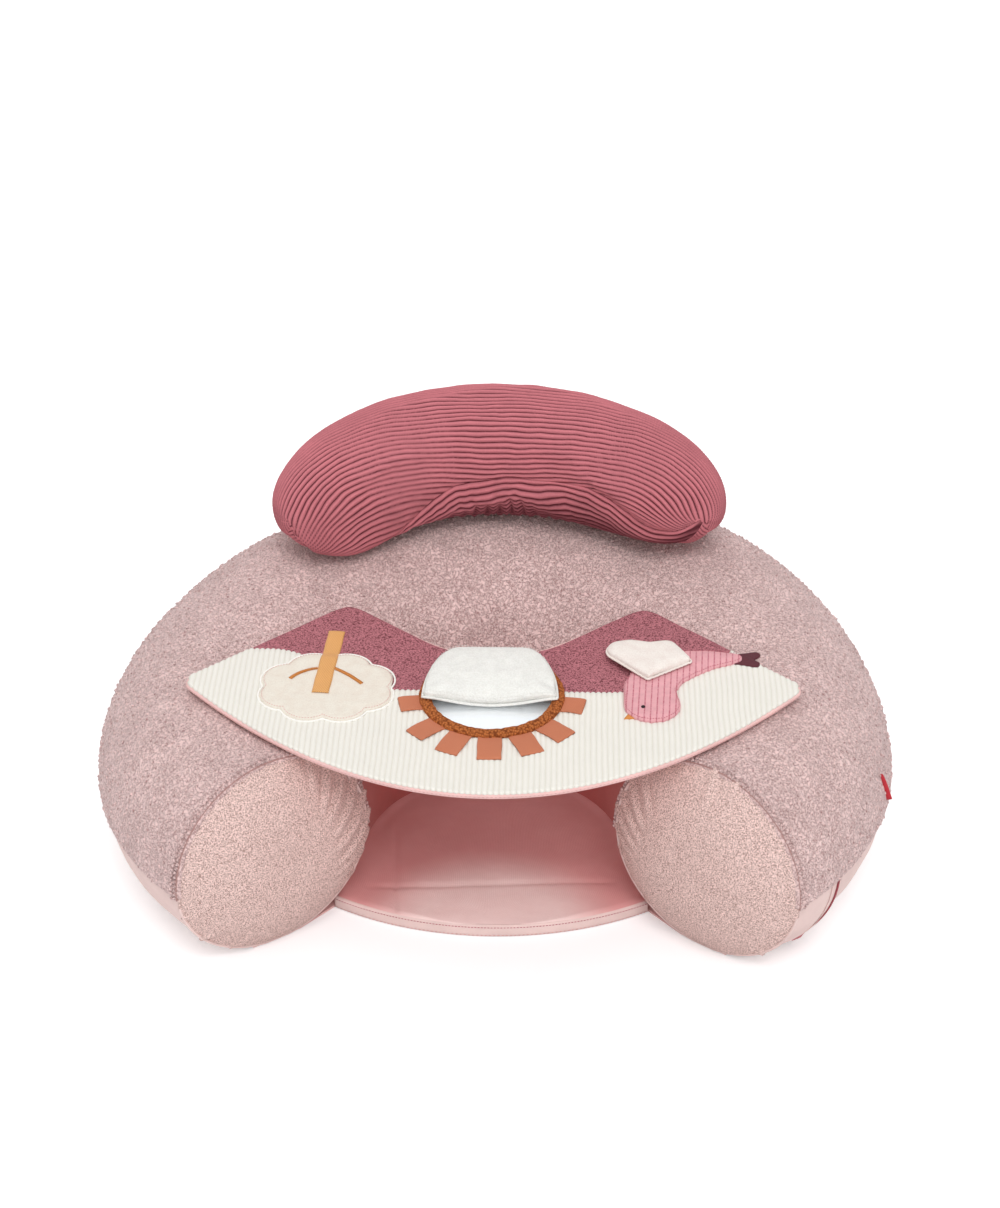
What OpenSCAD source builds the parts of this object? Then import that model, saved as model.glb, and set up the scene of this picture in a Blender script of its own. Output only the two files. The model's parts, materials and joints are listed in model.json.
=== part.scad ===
// Baby floor seat: an air-filled C-shaped ring in a zipped fabric cover, with a padded
// floor, a lift-off activity tray across the arms and a lift-off crescent head cushion.
// Origin: on the floor, at the centre of the ring's plan circle. +Y back, +X to the
// viewer's right when looking at the open front, +Z up. Millimetres.

/* [Ring] */
// Radius of the tube's centre line, seen from above
ring_r = 240; // [200:1:280]
// Angle from the middle of the back to each open end, degrees
ring_end_angle = 128; // [115:1:135]
// Width of the air chamber at the middle of the back
chamber_w_back = 262; // [220:1:280]
// Width of the air chamber beside the seat
chamber_w_side = 232; // [200:1:240]
// Width of the air chamber at each open end
chamber_w_end = 190; // [160:1:200]
// Height of the ring at the middle of the back, over the fleece
ring_back_h = 244; // [225:1:265]
// How far the tube flattens where it rests
tube_squash = 8; // [4:0.5:12]
// How far each end of the chamber bulges
end_dome_h = 26; // [10:1:32]

/* [Cover] */
// Thickness of the teddy fleece with its pile
fleece_t = 6; // [4:0.5:8]
// Thickness of the woven and velour cover fabric
woven_t = 2; // [1:0.25:3]
// How far the inner wall leans in at its foot
wall_lean = 4; // [0:0.5:8]

/* [Floor] */
// Thickness of the fabric under the whole seat
base_t = 2; // [1:0.25:3]
// Thickness of the floor's foam pad
pad_t = 8; // [4:0.5:15]
// Thickness of the fabric over the pad
floor_t = 1.5; // [1:0.25:3]
// Radius of the floor's curved front edge
front_edge_r = 262; // [240:1:300]
// How far the middle of the front edge lies inside the ring's centre line
front_edge_in = 99; // [90:1:110]
// Clearance, seen from the front, between the arms' centre lines and the base's corners
arm_clearance = 48; // [42:1:60]
// How much narrower the floor pad is than the base at the front, each side
pad_inset = 26; // [22:1:36]

/* [Tray] */
// Height of the tray's top above the floor, over the ring's centre
tray_top_z = 208; // [195:1:225]
// Slope of the tray, lower at the front, degrees
tray_tilt = 4; // [0:0.5:8]
// Distance from the ring's centre to the middle of the tray's front edge
tray_front_y = 206; // [190:1:220]
// Distance of each side tip from the middle
tray_tip_x = 275; // [255:1:290]
// Distance of the side tips in front of the ring's centre
tray_tip_y = 45; // [30:1:60]
// Distance of each rear corner from the middle
tray_corner_x = 136; // [120:1:150]
// Distance of the rear corners behind the ring's centre
tray_corner_y = 82; // [70:1:90]
// Radius of the belly notch in the rear edge
notch_r = 102; // [90:1:110]
// Rounding of the side tips
tip_r = 8; // [4:0.5:12]
// Rounding of the rear corners
corner_r = 12; // [6:0.5:16]
// Thickness of the woven backing
backing_t = 1.25; // [1:0.25:3]
// Thickness of the stiff board
board_t = 1.75; // [1:0.25:4]
// Thickness of the foam over the board
padding_t = 2; // [2:0.25:8]
// Thickness of the corduroy and velour on top
panel_t = 1.5; // [1:0.25:3]
// Width of the fabric binding round the tray's edge
binding_w = 3; // [2:0.25:5]
// Rise of the hill line towards the left edge
hill_rise_left = 76; // [60:1:90]
// Rise of the hill line towards the right edge
hill_rise_right = 92; // [70:1:100]
// Where the hill line is lowest, in front of the ring's centre
hill_low_y = 58; // [50:1:66]

/* [Hook and loop] */
// Thickness of each hook or loop layer
tape_t = 1.5; // [1:0.25:2.5]
// Clearance between a lift-off piece and its seat
seat_gap = 0.3; // [0.2:0.05:0.6]
// Length of the loop patches under the tray
loop_l = 34; // [20:1:40]
// Width of the loop patches under the tray
loop_w = 30; // [20:1:34]

/* [Mirror] */
// Distance of the mirror's centre in front of the ring's centre
mirror_y = 67; // [60:1:75]
// Outer diameter of the terry bezel
bezel_d = 128; // [110:1:134]
// Width of the bezel's rim
bezel_w = 11; // [8:0.5:16]
// Height of the bezel above the tray
bezel_h = 7; // [5:0.5:10]
// Thickness of the mirror plate
mirror_t = 2; // [1:0.25:3]
// Thickness of the padded flap over the mirror
flap_t = 7; // [4:0.5:9]
// Width of the flap
flap_w = 122; // [100:1:126]
// How far the flap's free edge lies in front of the mirror's centre
flap_front = 14; // [5:1:20]
// Length that a sun-ray tab stands out of the bezel at the front
ray_l = 30; // [18:1:34]
// Width of a sun-ray tab
ray_w = 21; // [14:1:24]
// Thickness of a sun-ray tab
ray_t = 1.5; // [0.8:0.1:2]

/* [Tree] */
// Distance of the foliage from the middle, to the left
tree_x = 146; // [135:1:155]
// Distance of the foliage in front of the ring's centre
tree_y = 57; // [50:1:64]
// Height of the foliage pad
foliage_t = 5; // [3:0.5:8]
// Radius of one foliage lobe
lobe_r = 25; // [20:1:28]
// Width of the trunk ribbon
trunk_w = 15.5; // [10:0.5:20]
// Thickness of the trunk ribbon
trunk_t = 1.2; // [0.8:0.1:2]

/* [Bird] */
// Distance of the bird's head from the middle, to the right
bird_x = 140; // [135:1:146]
// Distance of the bird's head in front of the ring's centre
bird_y = 79; // [74:1:84]
// Height of the padded body
bird_t = 6; // [4:0.5:9]
// Radius of the head
head_r = 26; // [22:1:28]
// Thickness of the padded wing
wing_t = 5; // [3:0.5:8]

/* [Head cushion] */
// Radius of the cushion's centre line, seen from above
cushion_r = 234; // [215:1:250]
// Angle from the middle of the cushion to each tip, degrees
cushion_angle = 56; // [45:1:62]
// Height of the cushion at its middle
cushion_h = 120; // [90:1:130]
// How much lower it is near its tips
cushion_taper = 6; // [0:1:20]
// Width of its section over its height
cushion_round = 1.1; // [0.9:0.05:1.3]
// How far its underside flattens
cushion_squash = 4; // [2:0.5:8]
// Thickness of its corduroy cover
cord_t = 1.5; // [1:0.25:3]

/* [Zip and valve] */
// Where the zip ends below the fleece, degrees under the tube's outer equator
zip_top = 6; // [4:1:12]
// How far the zip runs under the tube, degrees under the outer equator
zip_bottom = 60; // [54:1:62]
// Width of the zip tape
zip_tape_w = 22; // [16:1:28]
// Width of the zip's coil
zip_coil_w = 4.4; // [3:0.2:6]
// Height of the zip's coil
zip_coil_h = 2; // [1.5:0.1:3]
// Clearance between the slider and the coil
slider_gap = 0.3; // [0.2:0.05:0.6]
// Radius of the valve's flange
valve_r = 12.8; // [10:0.2:15]
// Depth of the valve in its pocket
valve_h = 11; // [8:0.5:14]

/* [Tag] */
// Length of the bare fabric tag
tag_l = 27; // [18:1:36]
// How far the tag stands out at its lower end
tag_out = 7; // [4:0.5:12]
// Thickness of the folded tag
tag_t = 1.6; // [1:0.1:3]

/* [Hidden] */
stations = 28;          // steps along the ring
sides = 24;             // steps round the tube
side_step = 360 / sides;
cushion_stations = 22;
cushion_sides = 16;
cushion_step = 360 / cushion_sides;
side_angle = 92;        // where chamber_w_side and the arms' straight crest begin
shoulder_power = 1.3;   // below 2, the back keeps its height longer towards the sides
tray_t = backing_t + board_t + padding_t + panel_t;
tape_gap = 2 * tape_t + seat_gap;
floor_top = base_t + pad_t + floor_t;
front_edge_y = ring_r - front_edge_in;                     // middle of the front edge
base_half_w = ring_r * sin(ring_end_angle) - arm_clearance; // half widths at the front
pad_half_w = base_half_w - pad_inset;
fit_gap = 0.3;          // between soft pieces that only touch
foot_angle = 5 * side_step;   // the flat foot spans this far either side of the lowest line
board_inset = 6;
$fn = 64;

// ---------- helpers ----------

function unit(v) = v / norm(v);
function flatten(lists) = [for (l = lists) for (p = l) p];
function smooth(s) = let (c = min(max(s, 0), 1)) c * c * (3 - 2 * c);

// closed solid through a list of closed loops that all have the same number of points
module loft(loops) {
    n = len(loops);
    m = len(loops[0]);
    skin = [for (i = [0 : n - 2]) for (j = [0 : m - 1])
        let (a = i * m + j, b = i * m + (j + 1) % m, c = b + m, d = a + m)
        each [[a, b, c], [a, c, d]]];
    first_cap = [for (j = [m - 1 : -1 : 0]) j];
    last_cap = [for (j = [0 : m - 1]) (n - 1) * m + j];
    polyhedron(flatten(loops), concat(skin, [first_cap], [last_cap]), convexity = 8);
}

// fabric panel between an outer and an inner grid of points
module panel(outer, inner) {
    n = len(outer);
    m = len(outer[0]);
    k = n * m;
    faces = concat(
        [for (i = [0 : n - 2]) for (j = [0 : m - 2])
            let (a = i * m + j, b = a + 1, c = b + m, d = a + m)
            each [[a, b, c], [a, c, d], [k + a, k + c, k + b], [k + a, k + d, k + c]]],
        [for (i = [0 : n - 2])
            let (a = i * m, d = a + m, b = a + m - 1, c = b + m)
            each [[a, d, k + d], [a, k + d, k + a], [b, k + b, k + c], [b, k + c, c]]],
        [for (j = [0 : m - 2])
            let (a = j, b = j + 1, c = (n - 1) * m + j, d = c + 1)
            each [[a, k + a, k + b], [a, k + b, b], [c, d, k + d], [c, k + d, k + c]]]);
    polyhedron(concat(flatten(outer), flatten(inner)), faces, convexity = 8);
}

// points of an arc that rounds the corner b between a and c
function fillet(a, b, c, r, n = 6) =
    let (u = unit(a - b), v = unit(c - b), half = acos(u * v) / 2,
        o = b + unit(u + v) * r / sin(half),
        p = b + u * r / tan(half), q = b + v * r / tan(half),
        a0 = atan2(p.y - o.y, p.x - o.x), a1 = atan2(q.y - o.y, q.x - o.x),
        turn = (a1 - a0 + 540) % 360 - 180)
    [for (i = [0 : n]) o + r * [cos(a0 + turn * i / n), sin(a0 + turn * i / n)]];

// an outline moved inwards, for outlines whose corners are all rounded
function inset(pts, d) = let (n = len(pts)) [for (i = [0 : n - 1])
    let (t = unit(pts[(i + 1) % n] - pts[(i + n - 1) % n])) pts[i] + d * [-t.y, t.x]];

// centre of the circle through three points of a plane
function circumcentre(a, b, c) =
    let (d = 2 * (a.x * (b.y - c.y) + b.x * (c.y - a.y) + c.x * (a.y - b.y)),
        aa = a * a, bb = b * b, cc = c * c)
    [(aa * (b.y - c.y) + bb * (c.y - a.y) + cc * (a.y - b.y)) / d,
     (aa * (c.x - b.x) + bb * (a.x - c.x) + cc * (b.x - a.x)) / d];

// ---------- the ring's surface ----------

// angle of a station, from the left end to the right end
function station_angle(i) = ring_end_angle * (2 * i / stations - 1);

// half the chamber's width: an even curve through its widths at back, side and end
w_side_share = pow(side_angle / ring_end_angle, 2);
w_side_drop = (chamber_w_back - chamber_w_side) / 2;
w_end_drop = (chamber_w_back - chamber_w_end) / 2;
w_quartic = (w_end_drop * w_side_share - w_side_drop) / (w_side_share - pow(w_side_share, 2));
w_square = w_end_drop - w_quartic;
function half_w(t) = let (s = pow(t / ring_end_angle, 2))
    chamber_w_back / 2 - w_square * s - w_quartic * s * s;

// the arms' crest follows the tray's underside; the back rises above it
tray_seat_z = tray_top_z - tray_t / cos(tray_tilt) - tape_gap;
function arm_line(t) = tray_seat_z + tan(tray_tilt) * ring_r * cos(t);
function rise(t) = abs(t) < side_angle ? pow(cos(90 * t / side_angle), shoulder_power) : 0;
function crest(t) = arm_line(t) + (ring_back_h - arm_line(0)) * rise(t);
function half_h(t) = (crest(t) - fleece_t - base_t + tube_squash) / 2;
function centre_z(t) = half_h(t) + base_t - tube_squash;

// distance from the ring's centre to the tube's side at angle f round it, out by d
function side_r(t, f, d) = ring_r + (half_w(t) + d) * cos(f);
function side_z(t, f, d) = max(centre_z(t) + (half_h(t) + d) * sin(f), base_t - d);
function polar(r, t, z) = [r * sin(t), r * cos(t), z];
function tube_point(t, f, d) = polar(side_r(t, f, d), t, side_z(t, f, d));
function tube_loop(t, d) =
    [for (j = [0 : sides - 1]) tube_point(t, j * side_step, d)];
function tube_centre(t) = polar(ring_r, t, centre_z(t));

// the same surface between stations and sides, flat across each facet
function facet_point(s, k, d) =
    let (i = min(floor(s), stations - 1), a = s - i, j = floor(k), b = k - j,
        p = function(di, dj) tube_point(station_angle(i + di), (j + dj) * side_step, d))
    (1 - a) * ((1 - b) * p(0, 0) + b * p(0, 1)) + a * ((1 - b) * p(1, 0) + b * p(1, 1));

// grid of points on the tube: stations i0 to i1, from angle f0 to f1 round it
function tube_grid(i0, i1, f0, f1, d) = [for (i = [i0 : i1])
    [for (j = [0 : round((f1 - f0) / side_step)])
        tube_point(station_angle(i), f0 + j * side_step, d)]];
module tube_panel(i0, i1, f0, f1, d0, d1)
    panel(tube_grid(i0, i1, f0, f1, d1), tube_grid(i0, i1, f0, f1, d0));

// loops of a domed end: the end section shrinks towards its centre as it bulges
dome_steps = 5;
dome_power = 3;         // above 2, a fuller rim and a flatter middle
function dome_loop(side, d, k) =
    let (t = side * ring_end_angle, s = 1 - k / dome_steps,
        out = (end_dome_h + d) * (1 - pow(s, dome_power)),
        way = side * [cos(t), -sin(t), 0], c = tube_centre(t))
    [for (p = tube_loop(t, d)) c + s * (p - c) + out * way];
function dome_loops(side, d, first = 0) =
    [for (k = [first : dome_steps - 1]) dome_loop(side, d, k)];
function reversed(list) = [for (i = [len(list) - 1 : -1 : 0]) list[i]];

// ---------- ring and cover ----------

zip_station = stations - 1;
zip_t = station_angle(zip_station);
valve_t = station_angle(stations - 2);
valve_f = -2 * side_step;
cap_room = 4;           // depth of the pocket over the valve, for its cap
pocket_depth = valve_h + cap_room;
pocket_clearance = 0.2;

// a frame on the chamber at the valve, with +Z pointing out of the tube
module at_valve(depth) {
    p = tube_point(valve_t, valve_f, 0);
    translate(p) rotate([0, 0, 90 - valve_t]) rotate([0, 90 - valve_f, 0])
        translate([0, 0, -depth]) children();
}

module air_chamber() color("gainsboro") difference() {
    loft(concat(reversed(dome_loops(-1, 0, 1)),
        [for (i = [0 : stations]) tube_loop(station_angle(i), 0)],
        dome_loops(1, 0, 1)));
    at_valve(pocket_depth) cylinder(r = valve_r + pocket_clearance, h = 2 * pocket_depth);
}

valve_bore_r = 6;
valve_floor = 2;
module air_valve() color("whitesmoke") at_valve(pocket_depth) difference() {
    cylinder(r = valve_r, h = valve_h);
    translate([0, 0, valve_floor]) cylinder(r = valve_bore_r, h = valve_h);
}

cap_start = 4;          // height of the plug's lower end
plug_clearance = 0.1;
cap_lip = 2;            // how far the cap's lip laps the valve
cap_t = 1.5;

module valve_cap() color("white") at_valve(pocket_depth) {
    translate([0, 0, cap_start])
        cylinder(r = valve_bore_r - plug_clearance, h = valve_h - cap_start);
    translate([0, 0, valve_h]) cylinder(r = valve_bore_r + cap_lip, h = cap_t);
}

module fleece_cover() color([0.82, 0.68, 0.67])
    tube_panel(0, stations, 0, 180, 0, fleece_t);

module outer_band() color([0.89, 0.80, 0.79])
    tube_panel(0, stations, -foot_angle, 0, 0, woven_t);

// the inner wall drops from the tube's inner equator to the base
function wall_top_r(t) = side_r(t, 180, 0);
function wall_foot_r(t) = wall_top_r(t) - wall_lean;
function wall_point(t, s, d) = polar(
    wall_top_r(t) - wall_lean * s - d, t, centre_z(t) + (base_t - centre_z(t)) * s);
function wall_grid(d) = [for (i = [0 : stations])
    [for (s = [0, 0.5, 1]) wall_point(station_angle(i), s, d)]];
module inner_wall() color([0.72, 0.50, 0.51]) panel(wall_grid(woven_t), wall_grid(0));

module end_disc(side) color([0.83, 0.70, 0.68])
    loft(side > 0
        ? concat(reversed(dome_loops(side, 0)), dome_loops(side, woven_t))
        : concat(reversed(dome_loops(side, woven_t)), dome_loops(side, 0)));
module end_disc_left() end_disc(-1);
module end_disc_right() end_disc(1);

// ---------- floor ----------

edge_centre_y = front_edge_r - front_edge_y;
function front_arc(half, r, n = 16) = let (a = asin(half / r))
    [for (i = [0 : n]) let (b = a - 2 * a * i / n) [r * sin(b), edge_centre_y - r * cos(b)]];
foot_share = cos(foot_angle);
function xy(p) = [p.x, p.y];
function plan_curve(inner) = [for (i = [0 : stations]) let (t = station_angle(i))
    xy(polar(inner ? wall_foot_r(t) - woven_t - fit_gap
        : ring_r + foot_share * half_w(t), t, 0))];
function foot_end(side) =
    xy(polar(ring_r - foot_share * half_w(ring_end_angle), side * ring_end_angle, 0));
band_t = 1.5;

module base_panel() color([0.93, 0.76, 0.76]) linear_extrude(base_t)
    polygon(concat(plan_curve(false), [foot_end(1)],
        front_arc(base_half_w, front_edge_r - band_t), [foot_end(-1)]));

module pad_outline() polygon(concat(plan_curve(true),
    front_arc(pad_half_w, front_edge_r - band_t - fit_gap)));

module base_pad() color("lightyellow") translate([0, 0, base_t])
    linear_extrude(pad_t) pad_outline();

module floor_panel() color([0.90, 0.70, 0.70]) translate([0, 0, base_t + pad_t])
    linear_extrude(floor_t) pad_outline();

module front_band() color([0.93, 0.79, 0.77]) linear_extrude(floor_top)
    polygon(concat(front_arc(base_half_w, front_edge_r),
        reversed(front_arc(base_half_w, front_edge_r - band_t))));

// ---------- zip ----------

// the zip lies on a circle through three points of the band's section at its station
function band_point(f) = [side_r(zip_t, f, woven_t), side_z(zip_t, f, woven_t)];
zip_o = circumcentre(band_point(0), band_point(-2 * side_step), band_point(-4 * side_step));
zip_lift = 0.25;
zip_r = norm(band_point(-2 * side_step) - zip_o) + zip_lift;
tape_h = 0.8;
slider_angle = 6;
slider_rest = 51;

// an arc band round the zip's circle, from depth angle a0 to a1 below the equator
module zip_arc(a0, a1, r0, r1, w0, w1)
    translate(polar(zip_o.x, zip_t, zip_o.y)) rotate([0, 0, 90 - zip_t]) rotate([90, 0, 0])
    rotate([0, 0, -a1]) rotate_extrude(angle = a1 - a0, $fn = 180)
    translate([r0, w0]) square([r1 - r0, w1 - w0]);

module zip_tape() color([0.86, 0.62, 0.62])
    zip_arc(zip_top, zip_bottom, zip_r, zip_r + tape_h, -zip_tape_w / 2, zip_tape_w / 2);

module zip_coil() color([0.72, 0.36, 0.40])
    zip_arc(zip_top, zip_bottom, zip_r + tape_h, zip_r + tape_h + zip_coil_h,
        -zip_coil_w / 2, zip_coil_w / 2);

slider_wall = 1.6;
module zip_slider() color("silver") {
    a0 = slider_rest - slider_angle / 2;
    a1 = slider_rest + slider_angle / 2;
    r0 = zip_r + tape_h + slider_gap;
    r1 = zip_r + tape_h + zip_coil_h + slider_gap;
    half = zip_coil_w / 2 + slider_gap;
    zip_arc(a0, a1, r1, r1 + slider_wall, -half - slider_wall, half + slider_wall);
    zip_arc(a0, a1, r0, r1, half, half + slider_wall);
    zip_arc(a0, a1, r0, r1, -half - slider_wall, -half);
}

// ---------- tag and hook patches ----------

tag_station = stations - 3;
tag_low = 0.4;               // share of the tag below the tube's first facet edge
module side_tag() color([0.80, 0.20, 0.24]) {
    t = station_angle(tag_station);
    row = [for (f = [0, 1, 2]) [side_r(t, f * side_step, fleece_t),
        side_z(t, f * side_step, fleece_t)]];
    down = unit(row[0] - row[1]);
    up = unit(row[2] - row[1]);
    low = row[1] + down * tag_l * tag_low;
    high = row[1] + up * tag_l * (1 - tag_low);
    rotate([0, 0, 90 - t]) rotate([90, 0, 0]) translate([0, 0, -tag_t / 2])
        linear_extrude(tag_t)
        polygon([low, low + [tag_out, 0], high + [tag_t, 0], high, row[1]]);
}

// hook tape on the fleece's crest, from station s0 to s1 and k sides to each side
crest_side = 90 / side_step;
tape_lift = 0.1;             // keeps the tape clear of the fleece's facets
module crest_tape(s0, s1, k) {
    rows = concat([s0], [for (s = [floor(s0) + 1 : ceil(s1) - 1]) s], [s1]);
    grid = function(d) [for (s = rows) [for (c = [-k, 0, k]) facet_point(s, crest_side + c, d)]];
    panel(grid(fleece_t + tape_t), grid(fleece_t + tape_lift));
}
patch_station = stations - 3;
patch_reach = 0.45;          // in steps along the ring, from the patch's middle
patch_sides = 0.55;          // in sides of the tube, from the crest
module arm_hook_patches() color([0.80, 0.60, 0.60])
    for (s = [patch_station, stations - patch_station])
        crest_tape(s - patch_reach, s + patch_reach, patch_sides);

strip_reach = 2.2;           // in steps along the ring, from the middle of the back
module cushion_hook_strip() color([0.62, 0.40, 0.42])
    crest_tape(stations / 2 - strip_reach, stations / 2 + strip_reach, patch_sides);

// ---------- tray ----------

// the tray's own frame: z = 0 is its top surface
module on_tray(h) translate([0, 0, tray_top_z]) rotate([tray_tilt, 0, 0])
    translate([0, 0, h]) children();

// the front edge is a parabola through the tips; the notch is an arc that the straight
// rear edges meet as tangents
front_sweep = (tray_front_y - tray_tip_y) / pow(tray_tip_x, 2);
function front_point(x) = [x, -tray_front_y + front_sweep * x * x];
notch_y = -1;
notch_o = [0, notch_y + notch_r];
corner_way = [tray_corner_x, tray_corner_y] - notch_o;
notch_end = atan2(corner_way.y, corner_way.x) - acos(notch_r / norm(corner_way));
front_steps = 24;
front_share = 0.94;
tray_outline =
    let (tip = front_point(tray_tip_x), near = front_point(front_share * tray_tip_x),
        corner = [tray_corner_x, tray_corner_y],
        touch = notch_o + notch_r * [cos(notch_end), sin(notch_end)],
        half = concat(fillet(near, tip, corner, tip_r), fillet(tip, corner, touch, corner_r)))
    concat([for (i = [0 : front_steps])
            front_point(front_share * tray_tip_x * (2 * i / front_steps - 1))],
        half,
        [for (i = [0 : 12]) let (a = notch_end - (2 * notch_end + 180) * i / 12)
            notch_o + notch_r * [cos(a), sin(a)]],
        reversed([for (p = half) [-p.x, p.y]]));

// the seam between the corduroy in front and the velour behind, level in the middle
hill_left = [80, 230];       // from where to where it rises on the left
hill_right = [100, 231];     // and on the right
function hill_y(x) = -hill_low_y + (x < 0
    ? hill_rise_left * smooth((-x - hill_left[0]) / (hill_left[1] - hill_left[0]))
    : hill_rise_right * pow(max(x - hill_right[0], 0) / (hill_right[1] - hill_right[0]), 2));
module behind_hill() {
    reach = tray_tip_x + 20;
    polygon(concat([[reach, tray_corner_y + 50], [-reach, tray_corner_y + 50]],
        [for (x = [-reach : 10 : reach]) [x, hill_y(x)]]));
}

module tray_backing() color([0.91, 0.72, 0.71])
    on_tray(-tray_t) linear_extrude(backing_t) polygon(tray_outline);

module tray_board() color("tan") on_tray(backing_t - tray_t)
    linear_extrude(board_t) polygon(inset(tray_outline, board_inset));

module tray_padding() color("lightyellow") on_tray(backing_t + board_t - tray_t)
    linear_extrude(padding_t) polygon(inset(tray_outline, board_inset));

module tray_binding() color([0.91, 0.72, 0.71]) on_tray(backing_t - tray_t)
    linear_extrude(board_t + padding_t) difference() {
        polygon(tray_outline);
        polygon(inset(tray_outline, binding_w));
    }

module tray_corduroy() color([0.94, 0.93, 0.89]) on_tray(-panel_t)
    linear_extrude(panel_t) difference() {
        polygon(tray_outline);
        behind_hill();
    }

module tray_velour() color([0.62, 0.38, 0.42]) on_tray(-panel_t)
    linear_extrude(panel_t) intersection() {
        polygon(tray_outline);
        behind_hill();
    }

patch_angle = station_angle(patch_station);
module tray_loop_patches() color([0.91, 0.80, 0.78]) for (side = [-1, 1])
    on_tray(-tray_t - tape_t)
    translate(xy(polar(ring_r, side * patch_angle, 0))) rotate([0, 0, -side * patch_angle])
    translate([-loop_l / 2, -loop_w / 2]) cube([loop_l, loop_w, tape_t]);

// ---------- mirror ----------

bezel_r = bezel_d / 2;
mirror_lap = 4;         // the plate's edge lies under the bezel
bezel_round = 3;
module at_mirror(h) on_tray(h) translate([0, -mirror_y, 0]) children();

module mirror_plate() color([0.92, 0.95, 0.97]) at_mirror(0)
    cylinder(r = bezel_r - bezel_w + mirror_lap, h = mirror_t, $fn = 96);

module mirror_bezel() color([0.69, 0.39, 0.20]) at_mirror(0) rotate_extrude($fn = 96) {
    r0 = bezel_r - bezel_w;
    polygon(concat(
        [[bezel_r, 0]],
        [for (a = [0 : 15 : 180]) [bezel_r - bezel_w / 2 + bezel_w / 2 * cos(a),
            bezel_round + (bezel_h - bezel_round) * sin(a)]],
        [[r0, mirror_t], [r0 + mirror_lap, mirror_t], [r0 + mirror_lap, 0]]));
}

flap_seam = 1;               // from the bezel's rim to the flap's sewn edge
flap_back = bezel_r - flap_seam;
flap_bow = 6;                // how much the free edge bows forward
flap_hinge_w = 56;           // length of the sewn edge
module mirror_flap() color([0.95, 0.94, 0.92]) at_mirror(bezel_h + fit_gap)
    linear_extrude(flap_t) polygon(concat(
        [for (i = [0 : 8]) let (x = flap_w / 2 * (i / 4 - 1))
            [x, -flap_front + flap_bow * (pow(2 * x / flap_w, 2) - 1)]],
        [for (i = [1 : 10]) let (a = 90 * i / 10)
            [flap_hinge_w / 2 + (flap_w - flap_hinge_w) / 2 * cos(a),
             -flap_front + (flap_back + flap_front) * sin(a)]],
        [for (i = [9 : -1 : 1]) let (a = 90 * i / 10)
            [-flap_hinge_w / 2 - (flap_w - flap_hinge_w) / 2 * cos(a),
             -flap_front + (flap_back + flap_front) * sin(a)]]));

ray_angles = [-79, -47, -23.5, 0, 23.5, 47, 79];   // from the front, round the bezel
ray_shorter = 12;            // how much shorter the outermost tabs are
root_gap = 0.4;
module sun_ray(i) color([0.79, 0.50, 0.35]) {
    a = ray_angles[i - 1];
    l = ray_l - ray_shorter * pow(a / ray_angles[6], 2);
    at_mirror(0) rotate([0, 0, a]) translate([-ray_w / 2, -bezel_r - root_gap - l, 0])
        cube([ray_w, l, ray_t]);
}

// ---------- tree ----------

lobes = 8;
lobe_ring = [38, 30];
module foliage_pad() color([0.94, 0.91, 0.86]) on_tray(0) translate([-tree_x, -tree_y, 0]) {
    cylinder(r = lobe_ring.x - 2, h = foliage_t);
    for (i = [0 : lobes - 1]) let (a = 360 * (i + 0.5) / lobes)
        translate([lobe_ring.x * cos(a), lobe_ring.y * sin(a), 0])
            cylinder(r = lobe_r, h = foliage_t);
}

trunk_lean = 4;              // degrees off the tray's front-to-back line
trunk_foot = -10;            // where the ribbon begins, from the foliage's centre
trunk_top = 85;              // where it ends
trunk_step = 58;             // where it comes down off the foliage
trunk_side = 4;              // how far left of the foliage's centre it crosses it
module trunk_ribbon() color([0.90, 0.67, 0.41]) on_tray(0)
    translate([-tree_x - trunk_side, -tree_y, 0]) rotate([0, 0, -trunk_lean])
    translate([-trunk_w / 2, 0, 0]) rotate([90, 0, 90]) linear_extrude(trunk_w)
    polygon([[trunk_foot, foliage_t], [trunk_step, foliage_t],
        [trunk_step + foliage_t + 1, 0], [trunk_top, 0], [trunk_top, trunk_t],
        [trunk_step + foliage_t + 2, trunk_t], [trunk_step + 1, foliage_t + trunk_t],
        [trunk_foot, foliage_t + trunk_t]]);

branch_w = 4;
branch_t = 0.8;
branch_r = 60;
branch_fork = [-2, 27];      // where the two arcs meet, from the foliage's centre
branch_left = [10.5, 31];    // from where to where they run, degrees
branch_right = [9.5, 34];
module branch(side, a0, a1) translate([0, -branch_r, 0]) linear_extrude(branch_t)
    polygon(concat(
        [for (i = [0 : 8]) let (a = a0 + (a1 - a0) * i / 8)
            (branch_r + branch_w / 2) * [side * sin(a), cos(a)]],
        [for (i = [8 : -1 : 0]) let (a = a0 + (a1 - a0) * i / 8)
            (branch_r - branch_w / 2) * [side * sin(a), cos(a)]]));
module tree_branches() color([0.80, 0.55, 0.30]) on_tray(foliage_t)
    translate([branch_fork.x - tree_x, branch_fork.y - tree_y, 0]) {
        branch(-1, branch_left[0], branch_left[1]);
        branch(1, branch_right[0], branch_right[1]);
    }

// ---------- bird ----------

// the body's middle line from the head's centre to the rump: x, y and radius
rump = [74, 69];
rump_r = 8;
body_line = [[0, 0, head_r], [-2, 25, 24], [8, 50, 25], [30, 62, 21], [50, 68, 15],
    [rump.x, rump.y, rump_r]];
module at_bird(h) on_tray(h) translate([bird_x, -bird_y, 0]) children();
module disc_at(c) translate([c.x, c.y]) circle(r = c.z, $fn = 32);
module bird_outline() for (i = [0 : len(body_line) - 2]) hull() {
    disc_at(body_line[i]);
    disc_at(body_line[i + 1]);
}
module bird_body() color([0.89, 0.66, 0.68]) at_bird(0) linear_extrude(bird_t) bird_outline();

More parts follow.
